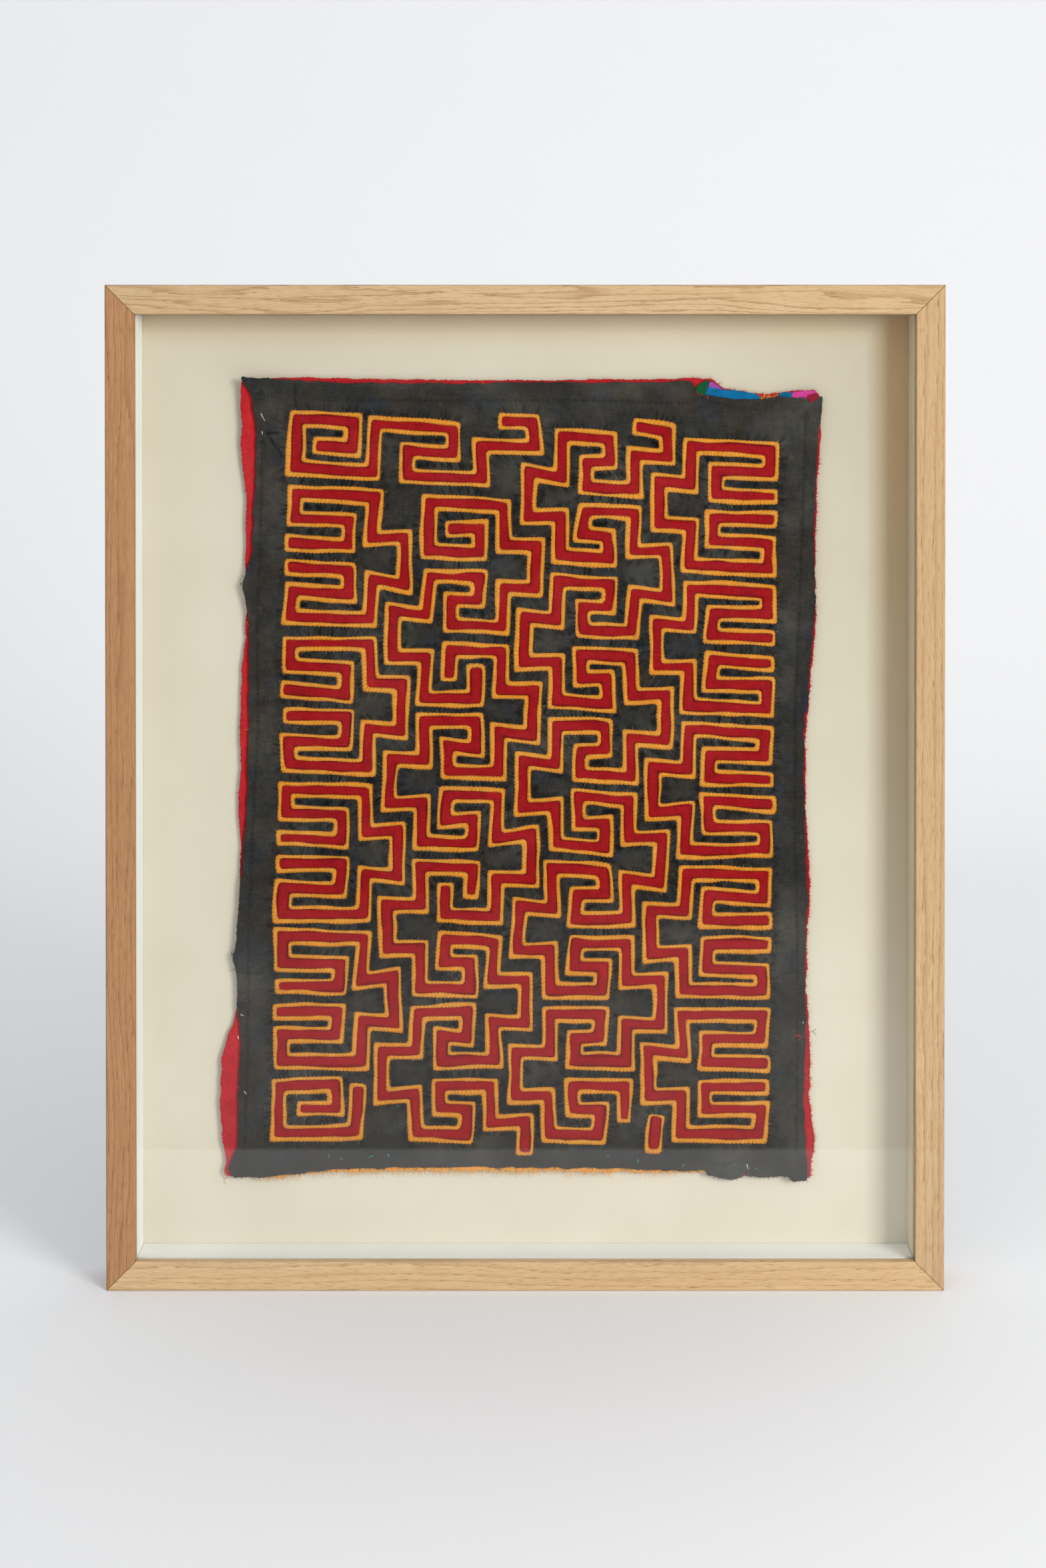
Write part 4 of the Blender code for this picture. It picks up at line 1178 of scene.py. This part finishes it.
def studio_paper():
    """White background paper: a little greyer where it lies under the frame and high on the wall.

    These tones are painted shade and light that even out the lamps; the paper is lighter between.
    """
    made, tree = empty_material("white studio paper")
    place = add_node(tree, "ShaderNodeTexCoord").outputs["Object"]
    parts = add_node(tree, "ShaderNodeSeparateXYZ", inputs=(place,)).outputs
    back = add_node(tree, "ShaderNodeMapRange", inputs=(parts["Y"], 0.25, 1.15))
    high = add_node(tree, "ShaderNodeMapRange", inputs=(parts["Z"], 0.15, 0.95))
    colour = tinted(tree, linear("#EEF0F1"), ((back, "#F9F9F9"), (high, "#F4F4F5")))
    return surfaced(made, {"Base Color": colour, "Roughness": 0.9, "Specular IOR Level": 0.1})


def dim_floor():
    """The darker floor beyond the paper, as the pane mirrors it: grey near the frame, then black."""
    made, tree = empty_material("dim floor")
    place = add_node(tree, "ShaderNodeTexCoord").outputs["Object"]
    parts = add_node(tree, "ShaderNodeSeparateXYZ", inputs=(place,)).outputs
    near = add_node(tree, "ShaderNodeMapRange", inputs=(parts["Y"], -1.05, -0.55))
    colour = tinted(tree, linear("#000000"), ((near, "#969492"),))
    return surfaced(made, {"Base Color": colour, "Roughness": 0.9, "Specular IOR Level": 0.1})


def stage_strip(name, profile, look):
    """A stage surface: a profile of (y, z) points carried along X."""
    profile = np.array(profile)
    count = len(profile)
    sides = [np.column_stack((np.full(count, x), profile)) for x in (-PAPER_REACH, PAPER_REACH)]
    index = np.arange(count - 1)
    faces = np.stack((index, index + count, index + count + 1, index + 1), axis=1)
    strip = add_mesh(name, np.vstack(sides), faces.tolist(), look)
    strip.data.shade_smooth()
    return strip


def build_stage():
    """White paper that runs under the frame and, along a quarter circle, up behind it.

    The pane mirrors only the paper's near part, and in front of that a dim floor that nothing else
    sees.
    """
    look = studio_paper()
    turn = np.linspace(0, math.pi / 2, 24)
    cove = np.stack((COVE_START + COVE_RADIUS * np.sin(turn), COVE_RADIUS - COVE_RADIUS * np.cos(turn)),
                    axis=1)
    wall = np.vstack(([(PAPER_MIDDLE, 0.0)], cove, [(COVE_START + COVE_RADIUS, PAPER_TOP)]))
    stage_strip("studio_floor_near", [(PAPER_FRONT, 0.0), (PAPER_MIDDLE, 0.0)], look)
    far = stage_strip("studio_floor_and_wall", wall, look)
    front = stage_strip("studio_floor_front", [(-PAPER_REACH, 0.0), (PAPER_FRONT, 0.0)], look)
    far.visible_glossy = False
    front.visible_glossy = False
    edges = [(DIM_FLOOR_FRONT, DIM_FLOOR_HEIGHT), (PAPER_FRONT, DIM_FLOOR_HEIGHT)]
    mirrored = stage_strip("floor_in_the_pane", edges, dim_floor())
    mirrored.visible_camera = False
    mirrored.visible_diffuse = False
    mirrored.visible_shadow = False


def add_light(name, place, aim, size, power, colour):
    lamp = bpy.data.lights.new(name, "AREA")
    lamp.shape = "SQUARE"
    lamp.size = size
    lamp.energy = power
    lamp.color = linear(colour)[:3]
    light = bpy.data.objects.new(name, lamp)
    light.location = place
    light.rotation_euler = (Vector(aim) - Vector(place)).to_track_quat("-Z", "Y").to_euler()
    bpy.context.scene.collection.objects.link(light)
    return light


def light_studio():
    """Soft daylight: a wide window to the upper right, a weak fill, and an even white room."""
    window = add_light("window", (1.5, -1.95, 0.95), (0, 0, 0.35), 0.85, 46, "#FFFCF7")
    window.visible_glossy = False
    add_light("fill", (-1.6, -2.2, 1.2), (0, 0, 0.3), 2.0, 6, "#F4F8FF")
    room = bpy.data.worlds.new("studio room")
    room.use_nodes = True
    room.node_tree.nodes["Background"].inputs["Color"].default_value = linear("#F2F4F8")
    room.node_tree.nodes["Background"].inputs["Strength"].default_value = 0.78
    bpy.context.scene.world = room
    room.cycles_visibility.glossy = False
    bpy.context.scene.view_settings.view_transform = "Standard"


def place_camera():
    """The photo's view: level with the panel's upper part, square on, its lower part by shift."""
    camera = bpy.data.cameras.new("photo camera")
    camera.lens = LENS_MM
    camera.sensor_width = SENSOR_MM
    camera.sensor_fit = "AUTO"
    camera.shift_x, camera.shift_y = CAMERA_SHIFT
    camera.clip_start = 0.05
    camera.clip_end = 50
    holder = bpy.data.objects.new("photo camera", camera)
    holder.location = CAMERA_PLACE
    holder.rotation_euler = (math.radians(CAMERA_TILT), 0, 0)
    bpy.context.scene.collection.objects.link(holder)
    bpy.context.scene.camera = holder


def cloth_looks():
    """The finishes of cloth and thread. Cotton: plain, deep, worn, warmer, cooler, wear, slubs."""
    looks = {}
    for name, *finish in (
            ("red", "#A2121B", "#520609", "#B83438", "#AC1A1D", "#90111C", 0.3, 0.34),
            ("orange", "#F1A03B", "#94540F", "#FFC26A", "#F29A2E", "#E5A047", 0.3, 0.26),
            ("faded black", "#33312E", "#0B0C0D", "#63605A", "#40372F", "#2E333C", 0.45, 0.28),
            ("unfaded red", "#C2252F", "#6A0A10", "#CF4648", "#CC2C30", "#AC1822", 0.3, 0.34)):
        looks[name] = cotton("plain woven cotton, " + name, *finish)
    for name, *finish in (
            ("cotton sewing thread, orange", "#D08A2A", "#8C5214"),
            ("cotton sewing thread, black", "#3A3C38", "#181916"),
            ("cotton sewing thread, grey to black", "#5A5851", "#161716", 45 * MM),
            ("frayed cotton thread, orange", "#EDAE5C", "#C98A3A"),
            ("frayed cotton thread, red", "#D22E30", "#9C161C"),
            ("pale cotton lint", "#C9AE84", "#8D7A5C"),
            ("white basting thread", "#EDEBE2", "#C9C5B6"),
            ("green cotton thread", "#35A884", "#1E7259")):
        looks[name] = spun_thread(name, *finish)
    return looks


def build_cloth():
    """The mola: lanes, sheets, scraps and loose threads."""
    chance = np.random.default_rng(SEWING_SEED)
    looks = cloth_looks()
    rings, field, extra = build_lanes(chance, looks)
    build_sheets(chance, rings, field, looks)
    build_scraps(chance)
    build_loose_threads(chance, rings, looks)


place_camera()
build_cloth()
dress_frame()
build_framers_points()
build_stage()
light_studio()
